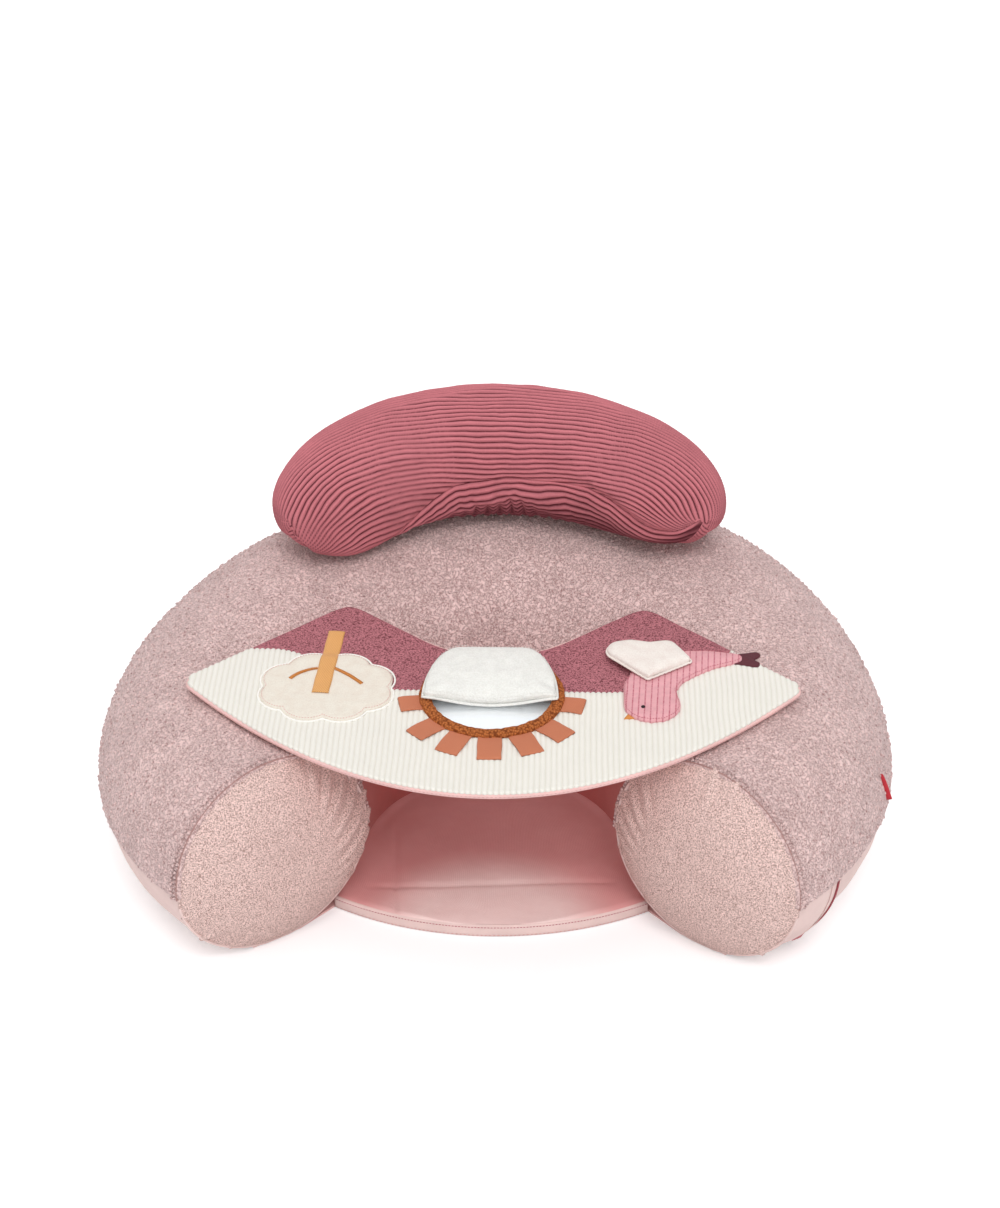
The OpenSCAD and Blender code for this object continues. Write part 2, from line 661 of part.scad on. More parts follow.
tail_t = 1.5;
tail_tips = [[97, 78], [95, 62]];
module bird_tail() color([0.33, 0.16, 0.19]) at_bird(0) linear_extrude(tail_t)
    difference() {
        for (tip = tail_tips) hull() {
            translate(rump + [3, 0]) circle(r = rump_r - 2, $fn = 32);
            translate(tip) circle(r = 4, $fn = 32);
        }
        bird_outline();
    }

module bird_beak() color([0.88, 0.62, 0.30]) at_bird(0) linear_extrude(tail_t)
    difference() {
        polygon([[-16, -16], [-26, -26], [-12, -24]]);
        bird_outline();
    }

module bird_eye() color([0.12, 0.10, 0.10]) at_bird(bird_t) translate([-8, -6, 0])
    cylinder(r1 = 1.8, r2 = 1.2, h = 0.8, $fn = 24);

// the wing is sewn along the line from root_a to root_b and lies over the breast
root_a = [-2, 36];
root_b = [34, 63];
wing_root_r = 3;
wing_lobes = [[[-23, 74, 15], [-14, 84, 13]], [[14, 83, 12]]];
module bird_wing() color([0.96, 0.93, 0.90]) at_bird(bird_t + fit_gap)
    linear_extrude(wing_t) for (lobe = wing_lobes) hull() {
        disc_at([root_a.x, root_a.y, wing_root_r]);
        disc_at([root_b.x, root_b.y, wing_root_r]);
        for (c = lobe) disc_at(c);
    }

// ---------- head cushion ----------

end_cut = 0.975;             // the sections stop just short of the tips
function cushion_u(i) = sin(90 * end_cut * (2 * i / cushion_stations - 1));
function cushion_half_h(u) = cushion_h / 2 - cord_t - cushion_taper / 2 * u * u;
function blunt(u) = sqrt(1 - pow(abs(u), 6));
function cushion_low(t) = crest(t) + tape_gap;
function cushion_point(u, f, d) =
    let (t = cushion_angle * u, full = cushion_half_h(u), h = full * blunt(u),
        z0 = cushion_low(t) + cord_t + full - cushion_squash)
    polar(cushion_r + (h * cushion_round + d) * cos(f), t,
        max(z0 + (h + d) * sin(f), cushion_low(t) + cord_t - d));
function cushion_loop(i, d) = [for (j = [0 : cushion_sides - 1])
    cushion_point(cushion_u(i), j * cushion_step, d)];
function cushion_grid(f0, f1, d) = [for (i = [0 : cushion_stations])
    [for (j = [0 : round((f1 - f0) / cushion_step)])
        cushion_point(cushion_u(i), f0 + j * cushion_step, d)]];
module cushion_panel(f0, f1) panel(cushion_grid(f0, f1, cord_t), cushion_grid(f0, f1, 0));

module cushion_filling() color("white")
    loft([for (i = [0 : cushion_stations]) cushion_loop(i, 0)]);
front_seam = 180;            // angles of the seams round the section
front_foot = 11 * cushion_step;
back_foot = 13 * cushion_step;
module cushion_top_cover() color([0.66, 0.38, 0.41]) cushion_panel(back_foot - 360, front_seam);
module cushion_front_cover() color([0.52, 0.28, 0.30]) cushion_panel(front_seam, front_foot);
module cushion_underside() color([0.60, 0.34, 0.37]) cushion_panel(front_foot, back_foot);

strip_steps = 6;
strip_half_w = 18;
strip_angle = 20;            // how far it runs to each side of the middle, degrees
function strip_row(t, z) = [for (r = [cushion_r - strip_half_w, cushion_r + strip_half_w])
    polar(r, t, cushion_low(t) + z)];
module cushion_loop_strip() color([0.62, 0.40, 0.42]) {
    angles = [for (i = [0 : strip_steps]) strip_angle * (2 * i / strip_steps - 1)];
    panel([for (t = angles) strip_row(t, -tape_lift)],
        [for (t = angles) strip_row(t, -tape_t)]);
}

// ---------- assembly ----------

air_chamber();
air_valve();
valve_cap();
fleece_cover();
outer_band();
inner_wall();
end_disc_left();
end_disc_right();
base_panel();
base_pad();
floor_panel();
front_band();
zip_tape();
zip_coil();
zip_slider();
side_tag();
arm_hook_patches();
cushion_hook_strip();
tray_backing();
tray_board();
tray_padding();
tray_corduroy();
tray_velour();
tray_binding();
tray_loop_patches();
mirror_plate();
mirror_bezel();
mirror_flap();
sun_ray(1);  // sun_ray_1
sun_ray(2);  // sun_ray_2
sun_ray(3);  // sun_ray_3
sun_ray(4);  // sun_ray_4
sun_ray(5);  // sun_ray_5
sun_ray(6);  // sun_ray_6
sun_ray(7);  // sun_ray_7
foliage_pad();
trunk_ribbon();
tree_branches();
bird_body();
bird_tail();
bird_beak();
bird_eye();
bird_wing();
cushion_filling();
cushion_top_cover();
cushion_front_cover();
cushion_underside();
cushion_loop_strip();
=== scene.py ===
"""Dressed model of a baby floor seat: a fleece-covered ring, a lift-off activity tray
and a lift-off crescent head cushion. Lengths in this script are millimetres and angles
are degrees until a mesh is made; the meshes are in metres, in the solids' frame.
Origin: on the floor, at the centre of the ring. +Y back, +X viewer's right, +Z up."""
import json
import math
import bpy
import bmesh
import numpy as np
from mathutils import Matrix, Vector, noise

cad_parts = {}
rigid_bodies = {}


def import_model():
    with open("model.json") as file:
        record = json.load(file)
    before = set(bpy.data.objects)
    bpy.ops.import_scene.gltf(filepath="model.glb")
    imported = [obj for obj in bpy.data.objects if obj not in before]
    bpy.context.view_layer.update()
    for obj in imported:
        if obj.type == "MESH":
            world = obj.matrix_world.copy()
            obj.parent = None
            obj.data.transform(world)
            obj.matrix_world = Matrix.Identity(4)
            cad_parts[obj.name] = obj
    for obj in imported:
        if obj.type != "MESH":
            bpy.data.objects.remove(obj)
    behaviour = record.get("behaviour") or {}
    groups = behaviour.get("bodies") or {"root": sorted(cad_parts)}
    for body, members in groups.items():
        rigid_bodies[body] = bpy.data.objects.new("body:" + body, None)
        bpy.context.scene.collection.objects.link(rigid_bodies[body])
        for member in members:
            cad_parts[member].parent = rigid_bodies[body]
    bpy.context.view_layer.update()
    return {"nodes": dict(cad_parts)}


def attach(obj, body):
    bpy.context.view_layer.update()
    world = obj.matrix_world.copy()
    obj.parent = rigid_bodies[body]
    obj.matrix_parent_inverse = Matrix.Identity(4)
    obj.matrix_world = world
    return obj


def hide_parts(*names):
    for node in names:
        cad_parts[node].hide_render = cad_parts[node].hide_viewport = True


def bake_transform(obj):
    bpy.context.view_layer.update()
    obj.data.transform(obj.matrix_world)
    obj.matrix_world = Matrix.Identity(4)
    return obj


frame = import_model()
METRE = 0.001
RADIAN = 57.3    # degrees
SEAT, TRAY, CUSHION = "seat", "tray", "head_cushion"


# ---------- nodes ----------

def grey(level):
    """A linear grey; 0 is black and 1 white."""
    return (level, level, level, 1.0)


BLACK, WHITE = grey(0.0), grey(1.0)


def put(tree, socket, value):
    """Links a node's output to a socket, or sets the socket to a plain value."""
    if isinstance(value, bpy.types.NodeSocket):
        tree.links.new(value, socket)
    else:
        socket.default_value = value


def add_node(tree, kind, inputs=(), **fields):
    """Adds a node, sets its fields, then its inputs, which go by name or number."""
    node = tree.nodes.new(kind)
    for key, value in fields.items():
        setattr(node, key, value)
    for key, value in dict(inputs).items():
        put(tree, node.inputs[key], value)
    return node


def seen_directly(tree):
    """1 for what the camera sees straight, in a gloss or through glass, else 0."""
    path = add_node(tree, "ShaderNodeLightPath").outputs
    seen = path["Is Camera Ray"]
    for other in ("Is Glossy Ray", "Is Transmission Ray"):
        seen = add_node(tree, "ShaderNodeMath", {0: seen, 1: path[other]}, operation="MAXIMUM").outputs[0]
    return seen


# ---------- camera and light ----------

ROOM_COLOUR, ROOM_LIGHT = (1.0, 0.995, 0.99, 1.0), 0.58
FLOOR_COLOUR, FLOOR_GLOW, FLOOR_REACH = (0.91, 0.92, 0.93, 1), 0.28, 6.0


def place_camera():
    """The camera of the reference view, looking down at the open front."""
    camera = bpy.data.cameras.new("camera")
    camera.lens = 81.49
    camera.sensor_width = 36.0
    camera.clip_end = 20.0
    holder = bpy.data.objects.new("camera", camera)
    bpy.context.collection.objects.link(holder)
    right = Vector((0.99967, 0.02588, 0.0))
    forward = Vector((-0.02263, 0.87433, -0.48481))
    up = right.cross(forward)
    turn = Matrix((right, up, -forward)).transposed()
    place = Vector((60.25, -2124.61, 1438.68)) * METRE
    holder.matrix_world = Matrix.Translation(place) @ turn.to_4x4()
    bpy.context.scene.camera = holder


def add_soft_sun(name, towards, strength, spread):
    """A wide, even light that comes from one side; spread is its softness."""
    lamp = bpy.data.lights.new(name, "SUN")
    lamp.energy = strength
    lamp.angle = math.radians(spread)
    holder = bpy.data.objects.new(name, lamp)
    bpy.context.collection.objects.link(holder)
    aim = -Vector(towards)
    holder.matrix_world = aim.to_track_quat("-Z", "Y").to_matrix().to_4x4()


def light_studio():
    """An even pale room and three soft lights; the camera and gloss see white."""
    scene = bpy.context.scene
    scene.view_settings.view_transform = "Standard"
    world = bpy.data.worlds.new("studio")
    scene.world = world
    world.use_nodes = True
    tree = world.node_tree
    tree.nodes.clear()
    room = add_node(tree, "ShaderNodeBackground", {"Color": ROOM_COLOUR, "Strength": ROOM_LIGHT})
    white = add_node(tree, "ShaderNodeBackground", {"Color": WHITE})
    choice = add_node(tree, "ShaderNodeMixShader",
                      {"Fac": seen_directly(tree), 1: room.outputs[0], 2: white.outputs[0]})
    add_node(tree, "ShaderNodeOutputWorld", {"Surface": choice.outputs[0]})
    add_soft_sun("key_light", (0.12, -0.60, 0.79), 1.20, 28)
    add_soft_sun("top_light", (-0.25, 0.25, 0.93), 0.50, 60)
    add_soft_sun("front_light", (0.05, -0.94, 0.36), 0.34, 40)


def lay_floor():
    """A pale floor that stays white to the camera and keeps the seat's shadow."""
    mesh = bpy.data.meshes.new("studio_floor")
    corners = [(x * FLOOR_REACH, y * FLOOR_REACH, 0) for x, y in ((-1, -1), (1, -1), (1, 1), (-1, 1))]
    mesh.from_pydata(corners, [], [(0, 1, 2, 3)])
    paint = bpy.data.materials.new("studio_floor_paint")
    paint.use_nodes = True
    tree = paint.node_tree
    tree.nodes.clear()
    matt = add_node(tree, "ShaderNodeBsdfDiffuse", {"Color": FLOOR_COLOUR})
    lift = add_node(tree, "ShaderNodeMath", {0: seen_directly(tree), 1: FLOOR_GLOW}, operation="MULTIPLY")
    glow = add_node(tree, "ShaderNodeEmission", {"Strength": lift.outputs[0]})
    both = add_node(tree, "ShaderNodeAddShader", {0: matt.outputs[0], 1: glow.outputs[0]})
    add_node(tree, "ShaderNodeOutputMaterial", {"Surface": both.outputs[0]})
    floor = add_object("studio_floor", mesh, paint)


# ---------- finishes ----------

WAVE_SCALE = 314.159    # the wave node's scale for one band a millimetre, in metres
FLOOR_FRONT = (0, -141, 12)    # the floor's front edge, where the painted shade is lightest
SHEEN_SPREAD = 0.45


def linear(colour):
    """A screen colour of 0 to 255 as the renderer's linear colour."""
    def one(v):
        v = v / 255
        return v / 12.92 if v <= 0.04045 else ((v + 0.055) / 1.055) ** 2.4
    return tuple(one(v) for v in colour) + (1.0,)


def shade(colour, factor):
    """The same colour, lighter or darker."""
    return tuple(min(c * factor, 1.0) for c in colour[:3]) + (1.0,)


class Finish:
    """A procedural material that is built node by node."""

    def __init__(self, name, roughness=0.9, sheen=0.0, sheen_tint=WHITE, specular=0.3, metallic=0.0):
        self.material = bpy.data.materials.new(name)
        self.material.use_nodes = True
        self.tree = self.material.node_tree
        self.sockets = self.tree.nodes["Principled BSDF"].inputs
        for key, value in (("Roughness", roughness), ("Specular IOR Level", specular),
                           ("Metallic", metallic), ("Sheen Weight", sheen),
                           ("Sheen Roughness", SHEEN_SPREAD), ("Sheen Tint", sheen_tint)):
            self.sockets[key].default_value = value
        places = self.add("ShaderNodeTexCoord").outputs
        self.object, self.uv = places["Object"], places["UV"]

    def add(self, kind, inputs=(), **fields):
        """A node of this material, as in add_node."""
        return add_node(self.tree, kind, inputs, **fields)

    def turned(self, turn):
        """Coordinates in metres, turned about Z."""
        return self.add("ShaderNodeMapping", {"Rotation": (0, 0, math.radians(turn)),
                                              "Vector": self.object}).outputs["Vector"]

    def grain(self, size_mm, detail=2.0, roughness=0.5):
        """Noise whose lumps are about size_mm across."""
        return self.add("ShaderNodeTexNoise", {"Scale": 1000.0 / size_mm, "Detail": detail,
                                               "Roughness": roughness, "Vector": self.object}).outputs["Fac"]

    def cells(self, size_mm):
        """The distance from the middles of cells about size_mm across."""
        return self.add("ShaderNodeTexVoronoi", {"Scale": 1000.0 / size_mm,
                                                 "Vector": self.object}).outputs["Distance"]

    def far_from(self, place_mm, near_mm, far_mm):
        """0 within near_mm of a place, 1 beyond far_mm, with a soft step between them."""
        gap = self.add("ShaderNodeVectorMath", {0: self.object, 1: tuple(v * METRE for v in place_mm)},
                       operation="DISTANCE")
        return self.add("ShaderNodeMapRange", {"From Min": near_mm * METRE, "From Max": far_mm * METRE,
                                               "Value": gap.outputs["Value"]},
                        interpolation_type="SMOOTHSTEP").outputs["Result"]

    def bands(self, pitch_mm, along, where, wobble):
        """Parallel threads or ribs, one every pitch_mm."""
        return self.add("ShaderNodeTexWave", {"Scale": WAVE_SCALE / pitch_mm, "Distortion": wobble,
                                              "Vector": where}, bands_direction=along).outputs["Fac"]

    def sum(self, kind, a, b):
        """Two values joined by an operation of the Math node."""
        return self.add("ShaderNodeMath", {0: a, 1: b}, operation=kind).outputs[0]

    def ramp(self, value, *stops):
        """A colour for each level of a value; stops are level, colour, level, colour and so on."""
        node = self.add("ShaderNodeValToRGB", {"Fac": value})
        row = node.color_ramp.elements
        while len(row) < len(stops) // 2:
            row.new(0.5)
        for element, level, colour in zip(row, stops[::2], stops[1::2]):
            element.position = level
            element.color = colour
        return node.outputs["Color"]

    def mix(self, share, a, b, blend="MIX"):
        """Two colours, blended by an operation of the Mix node."""
        return self.add("ShaderNodeMix", {"Factor": share, 6: a, 7: b}, data_type="RGBA",
                        blend_type=blend).outputs[2]

    def stored(self, name):
        """A value that the mesh carries at each vertex."""
        return self.add("ShaderNodeAttribute", attribute_name=name).outputs["Fac"]

    def colour(self, value):
        """Sets the material's colour."""
        put(self.tree, self.sockets["Base Color"], value)

    def relief(self, height, depth_mm, strength):
        """Bump of about depth_mm over what is already linked to Normal."""
        bump = self.add("ShaderNodeBump", {"Strength": strength, "Distance": depth_mm * METRE,
                                           "Height": height})
        normal = self.sockets["Normal"]
        if normal.links:
            put(self.tree, bump.inputs["Normal"], normal.links[0].from_socket)
        put(self.tree, normal, bump.outputs["Normal"])


def teddy_fleece(name, tip, painted_crease_shade):
    """Curly pile: light knots with painted shade in the creases between them, fine fibres, a soft sheen."""
    tip, painted_crease_shade = linear(tip), linear(painted_crease_shade)
    f = Finish(name, 0.95, 0.4, linear((236, 232, 234)), 0.1)
    curl = f.sum("ABSOLUTE", f.sum("SUBTRACT", f.grain(3.5, 2.5, 0.6), 0.5), 0.0)
    # painted shade: the thin creases between the knots are darker
    pile = f.ramp(curl, 0.0, painted_crease_shade, 0.03, shade(tip, 0.82), 0.075, tip, 0.16, shade(tip, 1.08))
    patches = f.ramp(f.grain(36, 2), 0.35, (0.94, 0.93, 0.93, 1), 0.65, grey(1.04))
    fibres = f.ramp(f.grain(1.6, 3, 0.7), 0.35, (0.88, 0.86, 0.86, 1), 0.65, grey(1.05))
    f.colour(f.mix(0.9, f.mix(1.0, pile, patches, "MULTIPLY"), fibres, "MULTIPLY"))
    f.relief(f.ramp(curl, 0.0, BLACK, 0.12, WHITE), 0.9, 0.8)
    f.relief(f.grain(1.4, 3, 0.7), 0.5, 0.6)
    return f.material


def speckled_velour(name, light, dark, speck, patch, sheen, share):
    """Short pile that lies in patches, with light and dark specks."""
    light, dark = linear(light), linear(dark)
    f = Finish(name, 0.85, sheen, shade(light, 1.3), 0.2)
    patches = f.ramp(f.grain(patch, 3, 0.6), 0.36, dark, 0.62, light)
    red, green, blue = shade(dark, 0.52)[:3]
    warm = (red, green * 0.88, blue * 0.82, 1.0)
    specks = f.ramp(f.grain(speck, 2, 0.8), 0.41, warm, 0.50, shade(light, 0.97), 0.58, shade(light, 1.32))
    f.colour(f.mix(share, patches, specks))
    f.relief(f.grain(speck, 2, 0.8), 0.3, 0.5)
    f.relief(f.grain(patch, 2), 1.6, 0.4)
    return f.material


def woven_cloth(name, base, contrast, pitch=1.1, fold=26, painted_shade=None):
    """Plain weave: crossing threads, uneven colour and soft creases. Inside the ring, painted shade
    darkens the colour away from the floor's front edge, from one distance to another."""
    base = linear(base)
    f = Finish(name, 0.8, 0.15, shade(base, 1.2), 0.25)
    threads = f.sum("MULTIPLY", f.bands(pitch, "X", f.uv, 0.4), f.bands(pitch, "Y", f.uv, 0.4))
    tone = f.ramp(f.grain(fold, 3, 0.55), 0.3, shade(base, 1 - contrast), 0.7, shade(base, 1 + contrast))
    dark = f.ramp(threads, 0.0, (0.90, 0.86, 0.86, 1), 0.6, WHITE)
    # painted shade: the colour darkens away from the floor's front edge, for the shadow under the tray
    if painted_shade:
        near_mm, far_mm, painted_shade_colour = painted_shade
        tone = f.mix(f.far_from(FLOOR_FRONT, near_mm, far_mm), tone, painted_shade_colour, "MULTIPLY")
    f.colour(f.mix(0.6, tone, dark, "MULTIPLY"))
    f.relief(threads, 0.25, 0.5)
    f.relief(f.grain(fold, 2), 2.0, 0.35)
    return f.material


def ribbed_corduroy(name, rib, painted_groove_shade, lint=0.12, wear_and_rib_shade=1.0):
    """Corduroy whose ribs are in the mesh: a painted highlight on the crowns, painted shade in the dark
    grooves, fine nap.
    """
    rib, painted_groove_shade = linear(rib), linear(painted_groove_shade)
    f = Finish(name, 0.9, 0.12, shade(rib, 1.3), 0.15)
    # painted shade in the grooves and painted highlight on the crowns, from the mesh's rib height
    painted_rib_shade = f.ramp(f.stored("rib"), 0.12, painted_groove_shade, 0.50, shade(rib, 1 - 0.14 * wear_and_rib_shade), 0.80, rib,
                  1.0, shade(rib, 1 + 0.14 * wear_and_rib_shade))
    fresh = grey(1 + 0.04 * wear_and_rib_shade)
    patches = f.ramp(f.grain(22, 3, 0.6), 0.3, grey(1 - 0.10 * wear_and_rib_shade), 0.7, fresh)
    nap = f.grain(1.0, 2, 0.7)
    nap_tone = f.ramp(nap, 0.3, grey(1 - 0.15 * wear_and_rib_shade), 0.65, fresh)
    specks = f.ramp(f.grain(2.2, 1, 0.5), 0.70, BLACK, 0.76, WHITE)
    body = f.mix(0.8, f.mix(0.7, painted_rib_shade, patches, "MULTIPLY"), nap_tone, "MULTIPLY")
    f.colour(f.mix(f.sum("MULTIPLY", specks, lint), body, shade(rib, 1.6)))
    f.relief(nap, 0.3, 0.5)
    return f.material


def terry_cloth(name, loop, base, size=1.6):
    """Looped towelling."""
    loop, base = linear(loop), linear(base)
    f = Finish(name, 0.92, 0.25, shade(loop, 1.25), 0.15)
    loops = f.cells(size)
    tone = f.ramp(loops, 0.1, loop, 0.75, base)
    patches = f.ramp(f.grain(9, 2), 0.35, grey(0.96), 0.65, grey(1.03))
    f.colour(f.mix(0.8, tone, patches, "MULTIPLY"))
    f.relief(f.sum("SUBTRACT", 1.0, loops), 0.7, 0.8)
    return f.material


def twill_ribbon(name, base, dark, pitch=1.6, turn=38):
    """Ribbon with slanting threads."""
    f = Finish(name, 0.6, 0.1, specular=0.35)
    slant = f.bands(pitch, "X", f.turned(turn), 0.6)
    tone = f.ramp(slant, 0.2, linear(dark), 0.6, linear(base))
    worn = f.ramp(f.grain(30, 2), 0.3, (0.95, 0.94, 0.93, 1), 0.7, (1.03, 1.03, 1.02, 1))
    f.colour(f.mix(0.8, tone, worn, "MULTIPLY"))
    f.relief(slant, 0.3, 0.7)
    return f.material


def plain_fibre(name, base, size, roughness=0.85, depth=0.3, contrast=0.08, metallic=0.0):
    """Felt, foam, thread or moulded plastic, by its grain size and roughness."""
    base = linear(base)
    f = Finish(name, roughness, metallic=metallic)
    f.colour(f.ramp(f.grain(size, 3, 0.6), 0.3, shade(base, 1 - contrast), 0.7, shade(base, 1 + contrast)))
    f.relief(f.grain(size, 2), depth, 0.5)
    return f.material


def pinstripe_velour(name, base, stripe, pitch):
    """Pink velour with thin darker stripes that run front to back."""
    base = linear(base)
    f = Finish(name, 0.88, 0.3, shade(base, 1.2), 0.2)
    thread = f.ramp(f.bands(pitch, "X", f.turned(3), 0.25), 0.80, BLACK, 0.96, WHITE)
    broken = f.ramp(f.grain(1.6, 2, 0.7), 0.35, grey(0.3), 0.6, WHITE)
    share = f.mix(1.0, thread, broken, "MULTIPLY")
    ground = f.ramp(f.grain(6, 3, 0.6), 0.3, shade(base, 0.92), 0.7, shade(base, 1.05))
    f.colour(f.mix(share, ground, linear(stripe)))
    f.relief(f.grain(1.0, 2, 0.7), 0.3, 0.5)
    return f.material


def mirror_film(name, dull, bright):
    """Slightly wavy mirror film, pale blue."""
    f = Finish(name, 0.22, specular=0.5, metallic=0.75)
    f.colour(f.ramp(f.grain(60, 2), 0.3, linear(dull), 0.7, linear(bright)))
    f.relief(f.grain(45, 1), 0.2, 0.2)
    return f.material


def make_finishes():
    """Every finish, under the record's slot name, with its colours as on a screen."""
    rows = {
        "teddy_fleece": (teddy_fleece, (233, 203, 200), (169, 123, 120)),
        "velour_end": (speckled_velour, (218, 190, 184), (199, 166, 159), 1.05, 14, 0.08, 0.9),
        "woven_light": (woven_cloth, (238, 212, 207), 0.05),
        "woven_pink": (woven_cloth, (243, 202, 198), 0.06),
        # woven_floor and woven_wall end with painted shade: where it starts, where it is full, and the colour
        # it darkens to
        "woven_floor": (woven_cloth, (255, 226, 222), 0.04, 1.1, 26, (58, 124, (0.78, 0.48, 0.49, 1))),
        "woven_wall": (woven_cloth, (250, 216, 212), 0.07, 1.1, 40, (60, 225, (0.60, 0.235, 0.225, 1))),
        # corduroy: the second colour is the painted shade in the grooves
        "corduroy_rose": (ribbed_corduroy, (198, 118, 126), (92, 40, 48)),
        "corduroy_cream": (ribbed_corduroy, (235, 232, 224), (227, 222, 210), 0.0, 0.25),
        "velour_burgundy": (speckled_velour, (175, 111, 119), (127, 69, 79), 1.5, 6, 0.12, 0.8),
        "terry_rust": (terry_cloth, (202, 120, 66), (122, 62, 30), 1.9),
        "terry_white": (terry_cloth, (242, 242, 238), (233, 232, 227)),
        "wing_velour": (speckled_velour, (240, 232, 225), (235, 224, 217), 1.0, 8, 0.1, 0.12),
        "foliage_velour": (speckled_velour, (234, 227, 215), (230, 220, 207), 1.1, 9, 0.1, 0.10),
        "foliage_edge": (plain_fibre, (248, 245, 240), 1.0),
        "ribbon_terracotta": (twill_ribbon, (206, 126, 92), (184, 106, 74), 1.2),
        "ribbon_mustard": (twill_ribbon, (237, 180, 112), (206, 143, 80)),
        "thread_mustard": (plain_fibre, (210, 138, 74), 0.8),
        "thread_pink": (plain_fibre, (222, 170, 168), 0.8),
        "thread_rose": (plain_fibre, (186, 98, 112), 0.8),
        "thread_seam": (plain_fibre, (176, 138, 133), 0.9),
        "thread_black": (plain_fibre, (44, 34, 36), 0.8),
        "bird_stripe": (pinstripe_velour, (226, 168, 174), (187, 103, 118), 5.4),
        "felt_plum": (plain_fibre, (92, 46, 54), 1.1, 0.85, 0.3, 0.16),
        "mirror_film": (mirror_film, (242, 247, 252), (249, 252, 255)),
        "tag_ribbon": (twill_ribbon, (208, 54, 64), (180, 40, 52), 0.9, 0),
        "hook_tape": (plain_fibre, (206, 160, 158), 1.0, 0.85, 0.8),
        "loop_tape": (plain_fibre, (222, 190, 186), 1.2, 0.85, 0.8),
        "tape_rose": (plain_fibre, (186, 148, 146), 1.0, 0.85, 0.8),
        "zip_tape_fabric": (woven_cloth, (238, 210, 205), 0.04, 0.8),
        "zip_nylon": (plain_fibre, (166, 74, 82), 2.0, 0.4, 0.1),
        "zip_metal": (plain_fibre, (196, 128, 132), 3.0, 0.45, 0.05, 0.04, 0.3),
        "chamber_film": (plain_fibre, (214, 214, 216), 12.0, 0.35, 0.4, 0.03),
        "valve_plastic": (plain_fibre, (236, 236, 234), 6.0, 0.4, 0.1, 0.03),
        "pad_foam": (plain_fibre, (240, 232, 204), 1.4, 0.95, 0.5),
        "tray_core": (plain_fibre, (206, 182, 146), 3.0, 0.7, 0.2),
        "cushion_fibre": (plain_fibre, (244, 243, 240), 2.0, 0.95, 0.8),
    }
    return {name: maker(name, *settings) for name, (maker, *settings) in rows.items()}


# ---------- meshes ----------

def add_object(name, mesh, finish=None):
    """Links a new object to the scene, with its finish if it has one."""
    piece = bpy.data.objects.new(name, mesh)
    bpy.context.collection.objects.link(piece)
    if finish:
        mesh.materials.append(finish)
    return piece


def points_of(piece):
    """A piece's points in millimetres, one row each."""
    place = np.empty(len(piece.data.vertices) * 3)
    piece.data.vertices.foreach_get("co", place)
    return place.reshape(-1, 3) / METRE


def move_points(piece, place):
    """Sets a piece's points, given in millimetres."""
    piece.data.vertices.foreach_set("co", (place * METRE).reshape(-1))
    piece.data.update()


def unit(vectors):
    """The same directions with length 1."""
    return vectors / np.maximum(np.linalg.norm(vectors, axis=-1, keepdims=True), 1e-6)


def table_of(rows, across):
    """Two tables with a row for each value of the first list and a column for each of the second."""
    return np.meshgrid(rows, across, indexing="ij")


def grid_mesh(name, points, finish, around=False, ends="open", loop=False, carried=None, uv=True):
    """A surface through rows of points. around closes each row, loop joins the last row
    to the first, and ends closes the first and last row: "open", "flat" or "point"."""
    rows, across = points.shape[:2]
    index = np.arange(rows * across).reshape(rows, across)
    below = np.vstack([index, index[:1]]) if loop else index
    wide = np.hstack([below, below[:, :1]]) if around else below
    quads = np.stack([wide[:-1, :-1], wide[:-1, 1:], wide[1:, 1:], wide[1:, :-1]], -1).reshape(-1, 4)
    faces = [tuple(q) for q in quads.tolist()]
    verts = points.reshape(-1, 3)
    spare = 0
    if ends == "flat":
        faces.append(tuple(index[0][::-1].tolist()))
        faces.append(tuple(index[-1].tolist()))
    if ends == "point":
        n, spare = len(verts), 2
        for j in range(across):
            k = (j + 1) % across
            faces.append((int(index[0][k]), int(index[0][j]), n))
            faces.append((int(index[-1][j]), int(index[-1][k]), n + 1))
        verts = np.vstack([verts, points[0].mean(0), points[-1].mean(0)])
    mesh = bpy.data.meshes.new(name)
    mesh.from_pydata((verts * METRE).tolist(), [], faces)
    if uv:
        add_uv(mesh, points, spare)
    for key, values in (carried or {}).items():
        layer = mesh.attributes.new(key, "FLOAT", "POINT")
        layer.data.foreach_set("value", values.reshape(-1).astype(np.float32))
    shade_smooth(mesh)
    return add_object(name, mesh, finish)


def shade_smooth(mesh):
    """Smooth shading on every face."""
    mesh.polygons.foreach_set("use_smooth", [True] * len(mesh.polygons))
    mesh.update()


def add_uv(mesh, points, spare):
    """A UV map in metres, from the mean lengths along and across the rows."""
    along = np.linalg.norm(np.diff(points, axis=0), axis=2).mean(1)
    across = np.linalg.norm(np.diff(points, axis=1), axis=2).mean(0)
    u, v = (np.concatenate([[0], np.cumsum(steps)]) for steps in (along, across))
    table = np.stack(table_of(u, v), -1).reshape(-1, 2) * METRE
    table = np.vstack([table, np.zeros((spare, 2))])
    corners = np.empty(len(mesh.loops), dtype=np.int32)
    mesh.loops.foreach_get("vertex_index", corners)
    layer = mesh.uv_layers.new(name="cloth")
    layer.data.foreach_set("uv", table[corners].reshape(-1).astype(np.float32))


def thicken(piece, thickness, offset=-1.0):
    """Gives a cloth surface its thickness, on the inner side of its faces."""
    wall = piece.modifiers.new("thickness", "SOLIDIFY")
    wall.thickness = thickness * METRE
    wall.offset = offset
    return bake_modifiers(piece)


def bake_modifiers(piece):
    """The evaluated shape as a plain mesh; the modifiers are removed."""
    graph = bpy.context.evaluated_depsgraph_get()
    mesh = bpy.data.meshes.new_from_object(piece.evaluated_get(graph))
    piece.modifiers.clear()
    piece.data = mesh
    return piece


